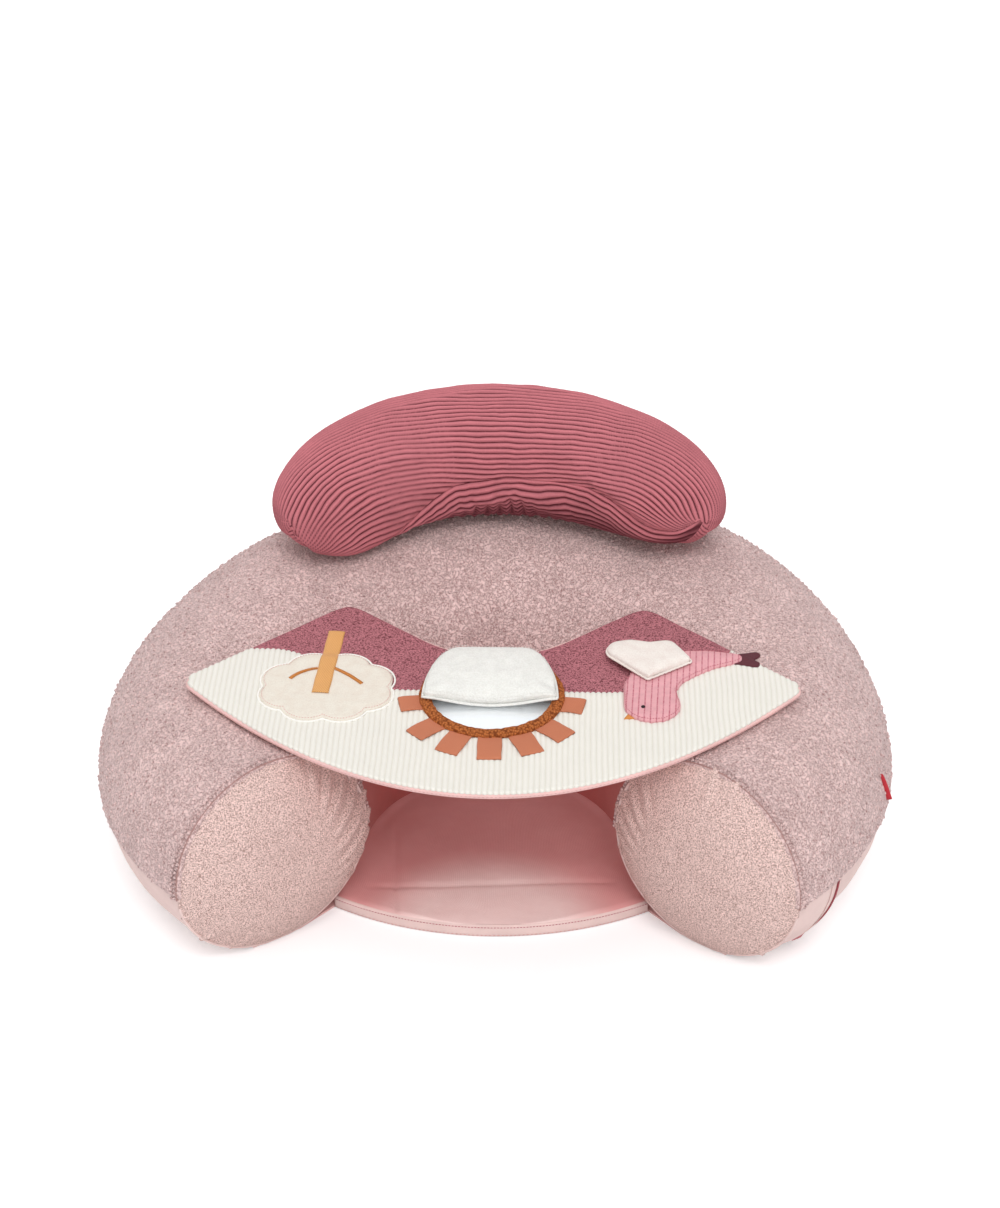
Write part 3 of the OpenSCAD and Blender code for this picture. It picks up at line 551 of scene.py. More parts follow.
def ripple(points, size, seed=0.0, stretch=(1, 1, 1)):
    """Smooth noise from -1 to 1 at each point; size is its wavelength."""
    flat = points.reshape(-1, 3) * (np.array(stretch) / size) + seed
    return np.array([noise.noise(p) for p in flat.tolist()]).reshape(points.shape[:-1])


def knots(points, size, seed=0.0):
    """Rounded bumps, 1 at each bump's middle and 0 in the creases between them."""
    flat = points.reshape(-1, 3) / size + seed
    near = [noise.voronoi(p)[0][0] for p in flat.tolist()]
    return 1.0 - np.clip(np.array(near) / 0.8, 0, 1).reshape(points.shape[:-1])


NEARLY_UP = np.array([0.03, 0.02, 1.0])    # no cord runs this way


def tube_along(name, path, radius, finish, sides=8, closed=False):
    """A round cord through a path of points."""
    if closed:
        ahead, behind = np.roll(path, -1, 0), np.roll(path, 1, 0)
    else:
        ahead = np.vstack([path[1:], 2 * path[-1:] - path[-2:-1]])
        behind = np.vstack([2 * path[:1] - path[1:2], path[:-1]])
    way = unit(ahead - behind)
    side = unit(np.cross(way, NEARLY_UP))
    over = np.cross(side, way)
    turn = np.radians(np.arange(sides) * 360.0 / sides)
    ring = np.cos(turn)[None, :, None] * side[:, None] + np.sin(turn)[None, :, None] * over[:, None]
    points = path[:, None] + radius * ring
    return grid_mesh(name, points[:, ::-1], finish, around=True, loop=closed,
                     ends="open" if closed else "flat")


# ---------- stitches, teeth and curls by Geometry Nodes ----------

CURL_DENSITY, CURL_LEAN = 60000.0, 0.7    # curls to a square metre at most, radians


def scatter_tree(name, finish, kind):
    """Puts a small shape at the points of a path ("PATH") or a surface ("SURFACE")."""
    tree = bpy.data.node_groups.new(name, "GeometryNodeTree")
    face = tree.interface
    face.new_socket("Geometry", in_out="INPUT", socket_type="NodeSocketGeometry")
    for label in ("Spacing", "Length", "Width", "Height", "Lift"):
        face.new_socket(label, in_out="INPUT", socket_type="NodeSocketFloat")
    face.new_socket("Seed", in_out="INPUT", socket_type="NodeSocketInt")
    face.new_socket("Geometry", in_out="OUTPUT", socket_type="NodeSocketGeometry")

    def add(node, inputs=(), out=0, **fields):
        return add_node(tree, node, inputs, **fields).outputs[out]
    given = add_node(tree, "NodeGroupInput").outputs
    shape = add("GeometryNodeMeshUVSphere", {"Segments": 5, "Rings": 3, "Radius": 0.5}, "Mesh")
    size = add("ShaderNodeCombineXYZ", {"X": given["Length"], "Y": given["Width"], "Z": given["Height"]})
    if kind == "PATH":
        curve = add("GeometryNodeMeshToCurve", {"Mesh": given["Geometry"]}, "Curve")
        spaced = add_node(tree, "GeometryNodeCurveToPoints", {"Curve": curve, "Length": given["Spacing"]},
                          mode="LENGTH").outputs
        up = add("GeometryNodeInputNamedAttribute", {"Name": "up"}, "Attribute", data_type="FLOAT_VECTOR")
        along = add("FunctionNodeAlignRotationToVector", {"Vector": spaced["Tangent"]}, "Rotation", axis="X")
        stood = add("FunctionNodeAlignRotationToVector", {"Rotation": along, "Vector": up}, "Rotation",
                    axis="Z", pivot_axis="X")
        where = {"Points": spaced["Points"], "Rotation": stood, "Scale": size}
    else:
        spread = add_node(tree, "GeometryNodeDistributePointsOnFaces",
                          {"Mesh": given["Geometry"], "Distance Min": given["Spacing"],
                           "Density Max": CURL_DENSITY, "Seed": given["Seed"]},
                          distribute_method="POISSON").outputs
        turn = add("FunctionNodeRandomValue",
                   {0: (-CURL_LEAN, -CURL_LEAN, 0.0), 1: (CURL_LEAN, CURL_LEAN, 6.28), "Seed": given["Seed"]},
                   data_type="FLOAT_VECTOR")
        turn = add("FunctionNodeEulerToRotation", {0: turn})
        leaning = add("FunctionNodeRotateRotation", {"Rotation": spread["Rotation"], "Rotate By": turn},
                      rotation_space="LOCAL")
        grow = add("FunctionNodeRandomValue", {2: 0.65, 3: 1.25, "Seed": given["Seed"]}, 1)
        scaled = add("ShaderNodeVectorMath", {0: size, "Scale": grow}, operation="SCALE")
        where = {"Points": spread["Points"], "Rotation": leaning, "Scale": scaled}
    placed = add("GeometryNodeInstanceOnPoints", dict(where, Instance=shape), "Instances")
    lift = add("ShaderNodeCombineXYZ", {"Z": given["Lift"]})
    raised = add("GeometryNodeTranslateInstances", {"Instances": placed, "Translation": lift,
                                                    "Local Space": True}, "Instances")
    real = add("GeometryNodeRealizeInstances", {"Geometry": raised}, "Geometry")
    smooth = add("GeometryNodeSetShadeSmooth", {"Geometry": real}, "Geometry")
    dressed = add("GeometryNodeSetMaterial", {"Geometry": smooth, "Material": finish}, "Geometry")
    add_node(tree, "NodeGroupOutput", {"Geometry": dressed})
    return tree


def run_tree(piece, tree, settings):
    """Runs a node tree on a piece with its inputs set, and keeps the plain mesh."""
    modifier = piece.modifiers.new(tree.name, "NODES")
    modifier.node_group = tree
    for item in tree.interface.items_tree:
        if item.in_out == "INPUT" and item.name in settings:
            modifier[item.identifier] = settings[item.name]
    return bake_modifiers(piece)


def stitch_line(name, path, up, finish, length, gap, width, height, closed=False):
    """Running stitches of thread along a path of points on cloth."""
    mesh = bpy.data.meshes.new(name)
    count = len(path)
    edges = [(i, i + 1) for i in range(count - 1)] + ([(count - 1, 0)] if closed else [])
    mesh.from_pydata((path * METRE).tolist(), edges, [])
    layer = mesh.attributes.new("up", "FLOAT_VECTOR", "POINT")
    layer.data.foreach_set("vector", np.broadcast_to(up, path.shape).reshape(-1).astype(np.float32))
    tree = scatter_tree(name + "_stitches", finish, "PATH")
    return run_tree(add_object(name, mesh), tree,
                    {"Spacing": (length + gap) * METRE, "Length": length * METRE, "Width": width * METRE,
                     "Height": height * METRE})


# ---------- the ring ----------

# Angles t go round the ring, 0 at the back; angles f go round a section, 0 outwards, 90 up.
RING_R, END_ANGLE, SIDE_ANGLE = 240.0, 128.0, 92.0
CHAMBER_BACK, CHAMBER_SIDE, CHAMBER_END = 262.0, 232.0, 190.0    # the chamber's widths
RING_BACK_H, TUBE_SQUASH, BASE_T, FLEECE_T = 244.0, 8.0, 2.0, 6.0
DOME_H, DOME_POWER, WALL_LEAN, FOOT_ANGLE = 26.0, 3.0, 4.0, 75.0
TRAY_TOP, TRAY_TILT, TRAY_T, TAPE_GAP = 208.0, 4.0, 6.5, 3.3
SHOULDER_POWER, CLOTH_T, CHAMBER_INSET, LOWEST = 1.3, 1.2, -2.0, 0.3
TILT_SIN, TILT_COS = math.sin(math.radians(TRAY_TILT)), math.cos(math.radians(TRAY_TILT))


def sind(a):
    """The sine of an angle in degrees."""
    return np.sin(np.radians(a))


def cosd(a):
    """The cosine of an angle in degrees."""
    return np.cos(np.radians(a))


def half_width(t):
    """Half the tube's width, which falls smoothly from the back over the sides to the ends."""
    side, side_fall = (SIDE_ANGLE / END_ANGLE) ** 2, (CHAMBER_BACK - CHAMBER_SIDE) / 2
    end_fall = (CHAMBER_BACK - CHAMBER_END) / 2
    quartic = (end_fall * side - side_fall) / (side - side ** 2)
    s = (np.asarray(t, float) / END_ANGLE) ** 2
    return CHAMBER_BACK / 2 - (end_fall - quartic) * s - quartic * s * s


def arm_line(t):
    """The height of the tilted plane that the tray rests on, over the ring's middle."""
    seat_z = TRAY_TOP - TRAY_T / TILT_COS - TAPE_GAP
    return seat_z + TILT_SIN / TILT_COS * RING_R * cosd(t)


def crest(t):
    """The height of the ring's top: on the tray's plane at the arms, rising to the back."""
    t = np.asarray(t, float)
    rise = np.where(np.abs(t) < SIDE_ANGLE,
                    np.clip(cosd(90 * np.clip(np.abs(t) / SIDE_ANGLE, 0, 1)), 0, 1) ** SHOULDER_POWER, 0)
    return arm_line(t) + (RING_BACK_H - arm_line(0)) * rise


def half_height(t):
    """Half the height of the chamber's tube."""
    return (crest(t) - FLEECE_T - BASE_T + TUBE_SQUASH) / 2


def centre_height(t):
    """The height of the tube's middle."""
    return half_height(t) + BASE_T - TUBE_SQUASH


def polar(r, t, z):
    """A point at a distance r from the ring's centre and an angle t from the back."""
    return np.stack(np.broadcast_arrays(r * sind(t), r * cosd(t), z), -1)


def rounded(x):
    """A quarter round: 0 at 0, rising steeply and levelling out to 1 at 1."""
    return np.sqrt(np.clip(1 - (1 - np.clip(x, 0, 1)) ** 2, 0, 1))


def ease(x):
    """A smooth step from 0 to 1."""
    x = np.clip(x, 0, 1)
    return x * x * (3 - 2 * x)


def lower_half(t):
    """The tube's height under its middle: squashed flat round the back, round at the ends."""
    ends = ease((np.abs(t) - 110) / 17)
    return half_height(t) * (1 - ends) + (centre_height(t) - 2.8) * ends


def tube(t, f, out):
    """A point on the ring's tube: t round the ring, f round the tube, out from the chamber."""
    r = RING_R + (half_width(t) + out) * cosd(f)
    high = np.where(sind(f) < 0, lower_half(t), half_height(t))
    z = np.maximum(centre_height(t) + (high + out) * sind(f), LOWEST)
    return polar(r, t, z)


def make_chamber(finish):
    """The inflated C-shaped bladder inside the ring, with its domed ends."""
    f = np.arange(0, 360, 6.0)
    s = np.sin(np.radians(np.linspace(8, 90, 9)))
    rows = [end_shape(-1, f, np.full(len(f), q), CHAMBER_INSET) for q in s]
    rows += [tube(t, f, CHAMBER_INSET) for t in np.linspace(-END_ANGLE, END_ANGLE, 181)[1:-1]]
    rows += [end_shape(1, f, np.full(len(f), q), CHAMBER_INSET) for q in s[::-1]]
    rows = np.array(rows)
    rows[..., 2] = np.maximum(rows[..., 2], 2.6)
    piece = grid_mesh("air_chamber_film", rows, finish, around=True, ends="flat")
    fix_outwards(piece)
    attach(piece, SEAT)
    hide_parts("air_chamber")


def bump_at(x, middle, reach):
    """A smooth hump of height 1."""
    return np.exp(-((x - middle) / reach) ** 2)


FLEECE_EDGE, FLEECE_END = 3.0, END_ANGLE + 0.5    # how far the fleece laps its seams, degrees
FLEECE_SKIN, SHOULDER_RISE = 0.7, 11.0


def shoulder(t, f):
    """The cover stands fuller over the right shoulder, as it does in the photograph."""
    over = np.clip(sind(f + 12), 0, 1) ** 0.8 * (0.45 + 0.55 * np.clip(cosd(f), 0, 1))
    return SHOULDER_RISE * bump_at(t, 47, 24) * over


def make_fleece(finish):
    """The teddy fleece over the upper half of the ring, rolled in at its edges."""
    rows, across, inner = ((820, 210, 26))
    t = np.linspace(-FLEECE_END, FLEECE_END, rows)
    f = np.linspace(-FLEECE_EDGE, 180 + FLEECE_EDGE, across)
    f_back = np.linspace(180 + FLEECE_EDGE - 1, 1 - FLEECE_EDGE, inner)
    tt, ff = table_of(t, f)
    base = tube(tt, ff, FLEECE_T)
    lumps = knots(base, 6.0) * 0.55 + knots(base, 4.1, 40) * 0.45
    swell = ripple(base, 17, 3) * 0.7 + ripple(base, 60, 9) * 1.2
    rim = np.clip(np.minimum(ff + FLEECE_EDGE, 180 + FLEECE_EDGE - ff) / 3.2, 0, 1)
    full = FLEECE_T - 0.4 + 1.1 * lumps + swell + shoulder(tt, ff)
    at_end = rounded((FLEECE_END - np.abs(tt)) / 1.3)
    out = FLEECE_SKIN + (full - FLEECE_SKIN) * np.minimum(rounded(rim), at_end)
    wave = ripple(polar(300 + 0 * tt, tt, 0 * tt), 26, 5) * 1.6
    edge = np.where(ff < 90, -1, 1) * (1 - rim) * wave
    outer = tube(tt, ff + edge, out)
    lining = tube(*table_of(t, f_back), 0.35)
    points = np.concatenate([outer, lining], 1)
    piece = grid_mesh("fleece_cover_cloth", points[:, ::-1], finish, around=True, ends="flat")
    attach(piece, SEAT)
    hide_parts("fleece_cover")
    add_curls(outer, finish)


def add_curls(outer, finish):
    """Loose curls that stand out of the pile."""
    sheet = grid_mesh("fleece_curls", outer[::4, ::3], finish)
    fix_outwards(sheet, lambda faces: max(faces, key=lambda face: face.calc_center_median().z).normal.z < 0)
    tree = scatter_tree("curl_scatter", finish, "SURFACE")
    run_tree(sheet, tree, {"Spacing": 0.0062, "Length": 0.0042, "Width": 0.0032, "Height": 0.0024,
                           "Lift": -0.0006, "Seed": 7})
    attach(sheet, SEAT)


def make_band(finish):
    """The woven band under the fleece, round the outside of the ring."""
    t = np.linspace(-END_ANGLE, END_ANGLE, 420)
    f = np.linspace(4, -FOOT_ANGLE, 34)
    tt, ff = table_of(t, f)
    base = tube(tt, ff, 2.0)
    puckers = ripple(base, 24, 2, (1, 1, 0.35)) * np.clip(-ff / 14, 0, 1) * 0.9
    soft = ripple(base, 70, 6) * 1.2 * np.clip((FOOT_ANGLE + ff) / 30, 0, 1)
    points = held_by_zip(tube(tt, ff, 2.3 + np.abs(puckers) + np.clip(soft, -0.3, 2)), tt)
    piece = grid_mesh("outer_band_cloth", points[:, ::-1], finish)
    thicken(piece, CLOTH_T)
    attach(piece, SEAT)
    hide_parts("outer_band")


def held_by_zip(points, t):
    """Brings the band to the underside of the zip's stiff tape, which it is sewn to."""
    over = np.hypot(points[..., 0], points[..., 1]) - ZIP_CENTRE[0]
    up = points[..., 2] - ZIP_CENTRE[1]
    far = np.hypot(over, up)
    below = np.degrees(np.arctan2(-up, over))
    along = ease((below + 4) / 8) * ease((ZIP_BOTTOM + 14 - below) / 12)
    near = ease((8 - np.abs(t - ZIP_T)) / 6)
    share = 1 + np.clip(ZIP_R + 0.25 - far, -3, 8) * near * along / far
    return polar(ZIP_CENTRE[0] + over * share, t, np.maximum(ZIP_CENTRE[1] + up * share, LOWEST))


def make_inner_wall(finish):
    """The woven wall that drops from the ring's inner side to the floor, in soft folds."""
    t = np.linspace(-END_ANGLE, END_ANGLE, 420)
    s = np.linspace(-0.06, 1, 26)
    tt, ss = table_of(t, s)
    top = RING_R - half_width(tt)
    fall = np.clip(ss, 0, 1)
    base = polar(top, tt, 100 * ss)
    folds = ripple(base, 22, 4, (1, 1, 0.2)) * 1.4 + ripple(base, 48, 8, (1, 1, 0.3)) * 1.8
    folds = np.clip(folds + 1.2, 0, 4) * (0.25 + 0.75 * np.sin(np.pi * np.clip(fall, 0.02, 0.98)))
    z = centre_height(tt) + (BASE_T + 2 - centre_height(tt)) * ss
    hanging = polar(top - WALL_LEAN * fall - 2.1 - folds, tt, z)
    wrapped = tube(tt, 180 + 82 * ss, 2.4 + 0.5 * folds)
    near_end = ease((np.abs(tt) - 98) / 24)[..., None]
    piece = grid_mesh("inner_wall_cloth", hanging + (wrapped - hanging) * near_end, finish)
    thicken(piece, CLOTH_T)
    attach(piece, SEAT)
    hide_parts("inner_wall")


def end_shape(side, f, s, out):
    """A point on a domed end: s is 1 at its rim and 0 in its middle."""
    t = side * END_ANGLE
    rim = tube(t, f, out)
    middle = polar(RING_R, t, centre_height(t))
    bulge = (DOME_H + out) * (1 - s ** DOME_POWER)
    return middle + s[..., None] * (rim - middle) + bulge[..., None] * out_of_end(side)


def out_of_end(side):
    """The direction in which the left or right end of the tube faces."""
    return side * round_ring(side * END_ANGLE)


def round_ring(t):
    """The direction round the ring, clockwise from above, at an angle."""
    return np.array([cosd(t), -sind(t), 0.0])


DISC_FOLDS = {    # where each crease starts on the rim, its drift, its depth and its reach
    -1: [(112, 5, 1.0, 0.30), (124, 4, 1.8, 0.42), (136, 3, 2.4, 0.45), (148, 8, 2.0, 0.50),
         (160, 12, 2.6, 0.52), (172, 20, 2.4, 0.48), (184, 22, 1.9, 0.42), (196, 20, 1.5, 0.34),
         (210, 12, 1.2, 0.28), (262, 6, 1.2, 0.22), (278, -6, 1.4, 0.24), (296, -8, 1.2, 0.22),
         (318, -6, 1.0, 0.20), (340, -4, 0.8, 0.18)],
    1: [(70, -6, 1.0, 0.30), (84, -4, 1.4, 0.34), (132, 4, 1.6, 0.36), (144, 6, 2.2, 0.40),
        (155, 8, 2.2, 0.42), (166, 12, 1.9, 0.38), (178, 14, 1.5, 0.34), (192, 12, 1.1, 0.28),
        (226, 8, 0.9, 0.22), (262, 4, 1.0, 0.20), (284, -4, 1.1, 0.20), (306, -4, 0.9, 0.18)],
}


def make_disc(name, side, velour, woven):
    """A domed velour end, puckered along its rim, with its woven rim."""
    f = np.linspace(0, 360, 280, endpoint=False)
    s = np.concatenate([np.linspace(1.0, 0.8, 16), np.linspace(0.78, 0.03, 30)])
    ss, ff = table_of(s, f)
    flat = end_shape(side, ff, ss, 2.0)
    folds = 0 * ff
    for start, drift, depth, reach in DISC_FOLDS[side]:
        line = start + drift * (1 - ss) / 0.4
        gap = ((ff - line + 180) % 360 - 180) / RADIAN * CHAMBER_END / 2 * ss
        length = np.clip((ss - 1 + reach) / reach, 0, 1) ** 0.6
        folds = folds + 1.2 * depth * length * (2.0 * bump_at(gap, 4.6, 4.2) - 1.6 * bump_at(gap, -1.2, 2.4))
    near_rim = np.clip((ss - 0.8) / 0.2, 0, 1) ** 1.5
    pucker = np.sin(np.radians(ff) * 34 + 3 * ripple(flat, 40, 2)) * near_rim * 0.45
    off_floor = np.clip((flat[..., 2] - 3) / 16, 0, 1)
    soft = ripple(flat, 46, 5 + side) * 1.6 + ripple(flat, 20, 7 + side) * 0.6
    out = np.clip(2.8 + 0.6 * (soft + 0.6) + (pucker + folds) * off_floor, 0.5, 9.0)
    points = end_shape(side, ff, ss, out)
    if side > 0:
        points = points[:, ::-1]
    piece = grid_mesh(name + "_cloth", points, velour)
    close_pole(piece, len(s))
    thicken(piece, CLOTH_T)
    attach(piece, SEAT)
    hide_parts(name)
    path = end_shape(side, np.linspace(150, 350, 150), np.ones(150), 2.4)
    way = out_of_end(side)
    rim = tube_along(name + "_rim", path + way * 0.6, 1.3, woven, 8)
    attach(rim, SEAT)
    path = end_shape(side, np.linspace(-4, 184, 180), np.ones(180), 3.5)
    seam = tube_along(name + "_seam", path + way * 0.9, 0.75, FINISH["thread_seam"], 6)
    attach(seam, SEAT)
    around, at_rim = np.linspace(-2, 182, 220), np.ones(220)
    outwards = end_shape(side, around, at_rim, 9.0) - end_shape(side, around, at_rim, 4.0)
    for row, back in (("inner", -0.2), ("outer", 2.6)):
        path = end_shape(side, around, at_rim, 5.4 + 0.5 * back)
        path = path - way * (back + 1.5 * ripple(path, 7, back)[:, None])
        edge = stitch_line("%s_fleece_%s_curls" % (name, row), path, outwards / 5.0, FINISH["teddy_fleece"],
                           3.8, 0.5 + 0.1 * back, 3.4, 3.2)
        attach(edge, SEAT)


def close_pole(piece, rings):
    """Closes a disc made of rings: the gap along its first spoke and the hole in its middle."""
    bm = bmesh.new()
    bm.from_mesh(piece.data)
    bm.verts.ensure_lookup_table()
    across = len(bm.verts) // rings
    for a in range(0, (rings - 1) * across, across):
        b = a + across
        bm.faces.new([bm.verts[i] for i in (b - 1, a, b, b + across - 1)])
    bm.faces.new(bm.verts[(rings - 1) * across:])
    bmesh.ops.recalc_face_normals(bm, faces=bm.faces)
    tip = max(bm.faces, key=lambda face: len(face.verts))
    if tip.normal.y > 0:
        bmesh.ops.reverse_faces(bm, faces=bm.faces)
    for face in bm.faces:
        face.smooth = True
    bm.to_mesh(piece.data)
    bm.free()


# ---------- the floor ----------

EDGE_R, EDGE_Y, BASE_HALF, BAND_T, FLOOR_TOP = 262.0, 141.0, 141.12, 1.5, 11.5
EDGE_MIDDLE = EDGE_R - EDGE_Y
FLOOR_CORNER = BASE_HALF - 2    # half the floor's width where its front arc meets its sides
CROWN, CROWN_REACH = 2.4, 14


def floor_half_width(y):
    """Half the floor pad's width at a distance y behind the ring's centre."""
    t = np.linspace(0.0, END_ANGLE, 400)
    r = RING_R - half_width(t) - WALL_LEAN - 2.3
    x_wall, y_wall = r * sind(t) + 26 * ease((t - 98) / 24), r * cosd(t)
    front_r = EDGE_R - BAND_T - 0.3
    y_corner = EDGE_MIDDLE - math.sqrt(front_r ** 2 - FLOOR_CORNER ** 2)
    arc = np.sqrt(np.clip(front_r ** 2 - (EDGE_MIDDLE - y) ** 2, 0.5, None))
    wall = np.interp(-y, np.append(-y_wall, -y_corner), np.append(x_wall, FLOOR_CORNER))
    return np.where(y < y_corner, arc, wall)


def make_floor(woven):
    """The padded floor: crowned, with a soft crease and creased side seams."""
    y0, y1 = -(EDGE_Y - BAND_T - 0.5), RING_R - CHAMBER_BACK / 2 - WALL_LEAN - 2.6
    y = y0 + (y1 - y0) * (0.5 - 0.5 * np.cos(np.linspace(0.0, np.pi, 130)))
    s = np.sin(np.linspace(-np.pi / 2, np.pi / 2, 130))
    yy, ss = table_of(y, s)
    half = np.maximum(floor_half_width(yy), 2.0)
    xx = ss * half
    inset = np.minimum(half - np.abs(xx), np.minimum(yy - y0, y1 - yy))
    at_wall = CROWN * rounded((yy - y0) / CROWN_REACH) + 2.0 * bump_at(inset, 0, 6)
    at_front = CROWN * rounded(inset / CROWN_REACH)
    crown = at_front + (at_wall - at_front) * ease((yy + 99) / 20)
    place = np.stack([xx, yy, 0 * xx], -1)
    soft = ripple(place, 60, 3) * 1.5 + ripple(place, 30, 5) * 0.6
    crease_y = -78 + 6 * np.sin(xx / 60)
    crease = -1.6 * bump_at(yy, crease_y, 3.5) * np.clip((118 - np.abs(xx)) / 25, 0, 1)
    seam = -1.4 * bump_at(xx, -92 - 0.06 * yy, 2.2) * np.clip((20 - yy) / 30, 0, 1)
    place[..., 2] = FLOOR_TOP - 1.2 + crown + np.clip(soft, -0.6, 1.5) * np.clip(inset / 10, 0, 1)
    place[..., 2] += (crease + seam) * np.clip(inset / 6, 0, 1)
    piece = grid_mesh("floor_panel_cloth", place[:, ::-1], woven)
    thicken(piece, 1.0)
    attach(piece, SEAT)
    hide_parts("floor_panel")


def front_arc(r, a, z):
    """A point at a distance r from the middle of the floor's front arc, a degrees from its front."""
    return np.stack([r * sind(a), EDGE_MIDDLE - r * cosd(a), z], -1)


def make_front_band(woven, thread):
    """The curved front edge of the floor: a turned band with two rows of stitching."""
    turn = math.degrees(math.asin(BASE_HALF / EDGE_R))
    a = np.linspace(-turn, turn, 200)
    out, high = np.array([(-1.4, 0.4), (-0.2, 0.5), (0.3, 2.5), (0.5, 5.5), (0.45, 8.5), (0.1, 10.7),
                          (-0.9, 12.0), (-2.4, 12.3), (-3.6, 11.4), (-2.6, 9.0), (-1.7, 6.0), (-1.6, 3.0)]).T
    aa, oo = table_of(a, out)
    zz = np.broadcast_to(high, aa.shape)
    flat = front_arc(EDGE_R, aa, zz)
    wave = ripple(flat, 30, 2, (1, 1, 0.5)) * 0.7 + ripple(flat, 12, 4, (1, 1, 0.6)) * 0.25
    points = front_arc(EDGE_R + oo + wave * np.clip(zz / 6, 0, 1), aa, zz + 0.3 * wave)
    piece = grid_mesh("front_band_cloth", points, woven, around=True, ends="flat")
    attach(piece, SEAT)
    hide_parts("front_band")
    for name, z, cotton, gap in (("front_band_upper_stitch", 10.2, FINISH["thread_rose"], 0.3),
                                 ("front_band_lower_stitch", 1.9, thread, 1.1)):
        path = front_arc(EDGE_R + 0.75, a, 0 * a + z)
        outwards = np.stack([sind(a), -cosd(a), 0 * a], -1)
        line = stitch_line(name, path, outwards, cotton, 2.6, gap, 0.7, 0.6)
        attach(line, SEAT)


# ---------- the zip and the tag ----------

ZIP_T, ZIP_TOP, ZIP_BOTTOM, ZIP_TAPE_W, TAPE_H = 118.857, 6.0, 60.0, 22.0, 0.8
ZIP_CENTRE, ZIP_R = (247.59, 90.30), 96.34    # the zip's curve: its middle's distance and height
TAG_T, TAG_LENGTH, TAG_OUT, TAG_HALF_FOLD = 100.571, 27.0, 7.0, 0.8


def zip_point(a, out, across):
    """A point on the zip: a degrees below its centre, out from the tape's underside."""
    r = ZIP_CENTRE[0] + (ZIP_R + out) * cosd(a)
    z = ZIP_CENTRE[1] - (ZIP_R + out) * sind(a)
    return polar(r, ZIP_T, z) + np.asarray(across)[..., None] * round_ring(ZIP_T)


def make_zip(tape_finish, nylon):
    """The zip's tape, and its coil as one row of teeth to each side."""
    a = np.linspace(ZIP_TOP - 2.5, ZIP_BOTTOM, 70)
    w = np.linspace(-ZIP_TAPE_W / 2, ZIP_TAPE_W / 2, 15)
    aa, ww = table_of(a, w)
    points = zip_point(aa, TAPE_H * 0.9 + 0.12 * ripple(zip_point(aa, 0, ww), 9), ww)
    tape = grid_mesh("zip_tape_cloth", points[:, ::-1], tape_finish)
    thicken(tape, 0.6, 0.0)
    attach(tape, SEAT)
    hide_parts("zip_tape")
    rows = [stitch_line("zip_teeth", zip_point(a, TAPE_H + 0.9, 0 * a + side * 1.15), round_ring(ZIP_T),
                        nylon, 0.7, 0.35, 1.6, 2.1)
            for side in (-1, 1)]
    merge_into(rows[0], rows[1:], "zip_coil_teeth")
    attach(rows[0], SEAT)
    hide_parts("zip_coil")


def merge_into(first, others, name):
    """Joins several pieces of one body and finish into the first."""
    bm = bmesh.new()
    for piece in [first] + others:
        bm.from_mesh(piece.data)
    bm.to_mesh(first.data)
    bm.free()
    for piece in others:
        bpy.data.objects.remove(piece)
    first.name = name
    first.data.name = name


def make_tag(finish):
    """A bare folded ribbon in the side seam, its fold hanging clear."""
    low, high = (tube(TAG_T, f, FLEECE_T - 1) for f in (7.0, 20.5))
    down = unit(low - high)
    away = polar(1.0, TAG_T, 0.0)
    away = unit(away - down * float(away @ down))
    way = np.cross(away, down)
    half = TAG_HALF_FOLD
    fold = [(0.55 + 0.1 * math.cos(b), half * math.sin(b)) for b in np.radians(np.linspace(90, -90, 9))]
    section = [(0.0, half), (0.5, half)] + fold + [(0.5, -half), (0.0, -half)]
    rows = []
    for u in np.linspace(0, 1, 12):
        reach = (3.6 + (TAG_OUT - 4.4) * u ** 0.6) * 1.9
        start = high + down * TAG_LENGTH * u * 0.98 - away
        sway = 0.7 * math.sin(3 * u)
        rows.append([start + away * (out * reach) + way * (side + sway * out) for out, side in section])
    piece = grid_mesh("side_tag_ribbon", np.array(rows), finish, around=True, ends="flat")
    fix_outwards(piece)
    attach(piece, SEAT)
    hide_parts("side_tag")


def fix_outwards(piece, is_wrong=None):
    """Turns a mesh's faces outwards, and an open one's over where is_wrong says so of them."""
    bm = bmesh.new()
    bm.from_mesh(piece.data)
    bmesh.ops.recalc_face_normals(bm, faces=bm.faces)
    bm.faces.ensure_lookup_table()
    if is_wrong and is_wrong(bm.faces):
        bmesh.ops.reverse_faces(bm, faces=bm.faces)
    bm.to_mesh(piece.data)
    bm.free()


# ---------- the tray ----------

FRONT_Y, TIP_X, TIP_Y, CORNER_X, CORNER_Y = 206.0, 275.0, 45.0, 136.0, 82.0
NOTCH_R, NOTCH_Y = 102.0, 101.0
HILL_LOW, RISE_LEFT, RISE_RIGHT = 58.0, 62.0, 92.0
MIRROR_Y, BEZEL_R, BEZEL_W, BEZEL_H = 67.0, 64.0, 11.0, 7.0
CREAM_PITCH, TRAY_CLOTH_T = 4.8, 0.9
UP = np.array([0.0, -TILT_SIN, TILT_COS])    # out of the tray's plane


def on_tray(points):
    """From the tray's own flat plane, where height 0 is its top, to its tilted place."""
    x, y, h = points[..., 0], points[..., 1], points[..., 2]
    return np.stack([x, y * TILT_COS - h * TILT_SIN, TRAY_TOP + y * TILT_SIN + h * TILT_COS], -1)


def front_line(x):
    """The tray's front edge, a parabola between its tips."""
    return -FRONT_Y + (FRONT_Y - TIP_Y) / TIP_X ** 2 * x * x


def hill_line(x):
    """The seam between the corduroy in front and the velour behind."""
    left = RISE_LEFT * ease((-x - 80) / 120)
    right = RISE_RIGHT * (np.maximum(x - 100, 0) / 131) ** 2
    return -HILL_LOW + np.where(x < 0, left, right)


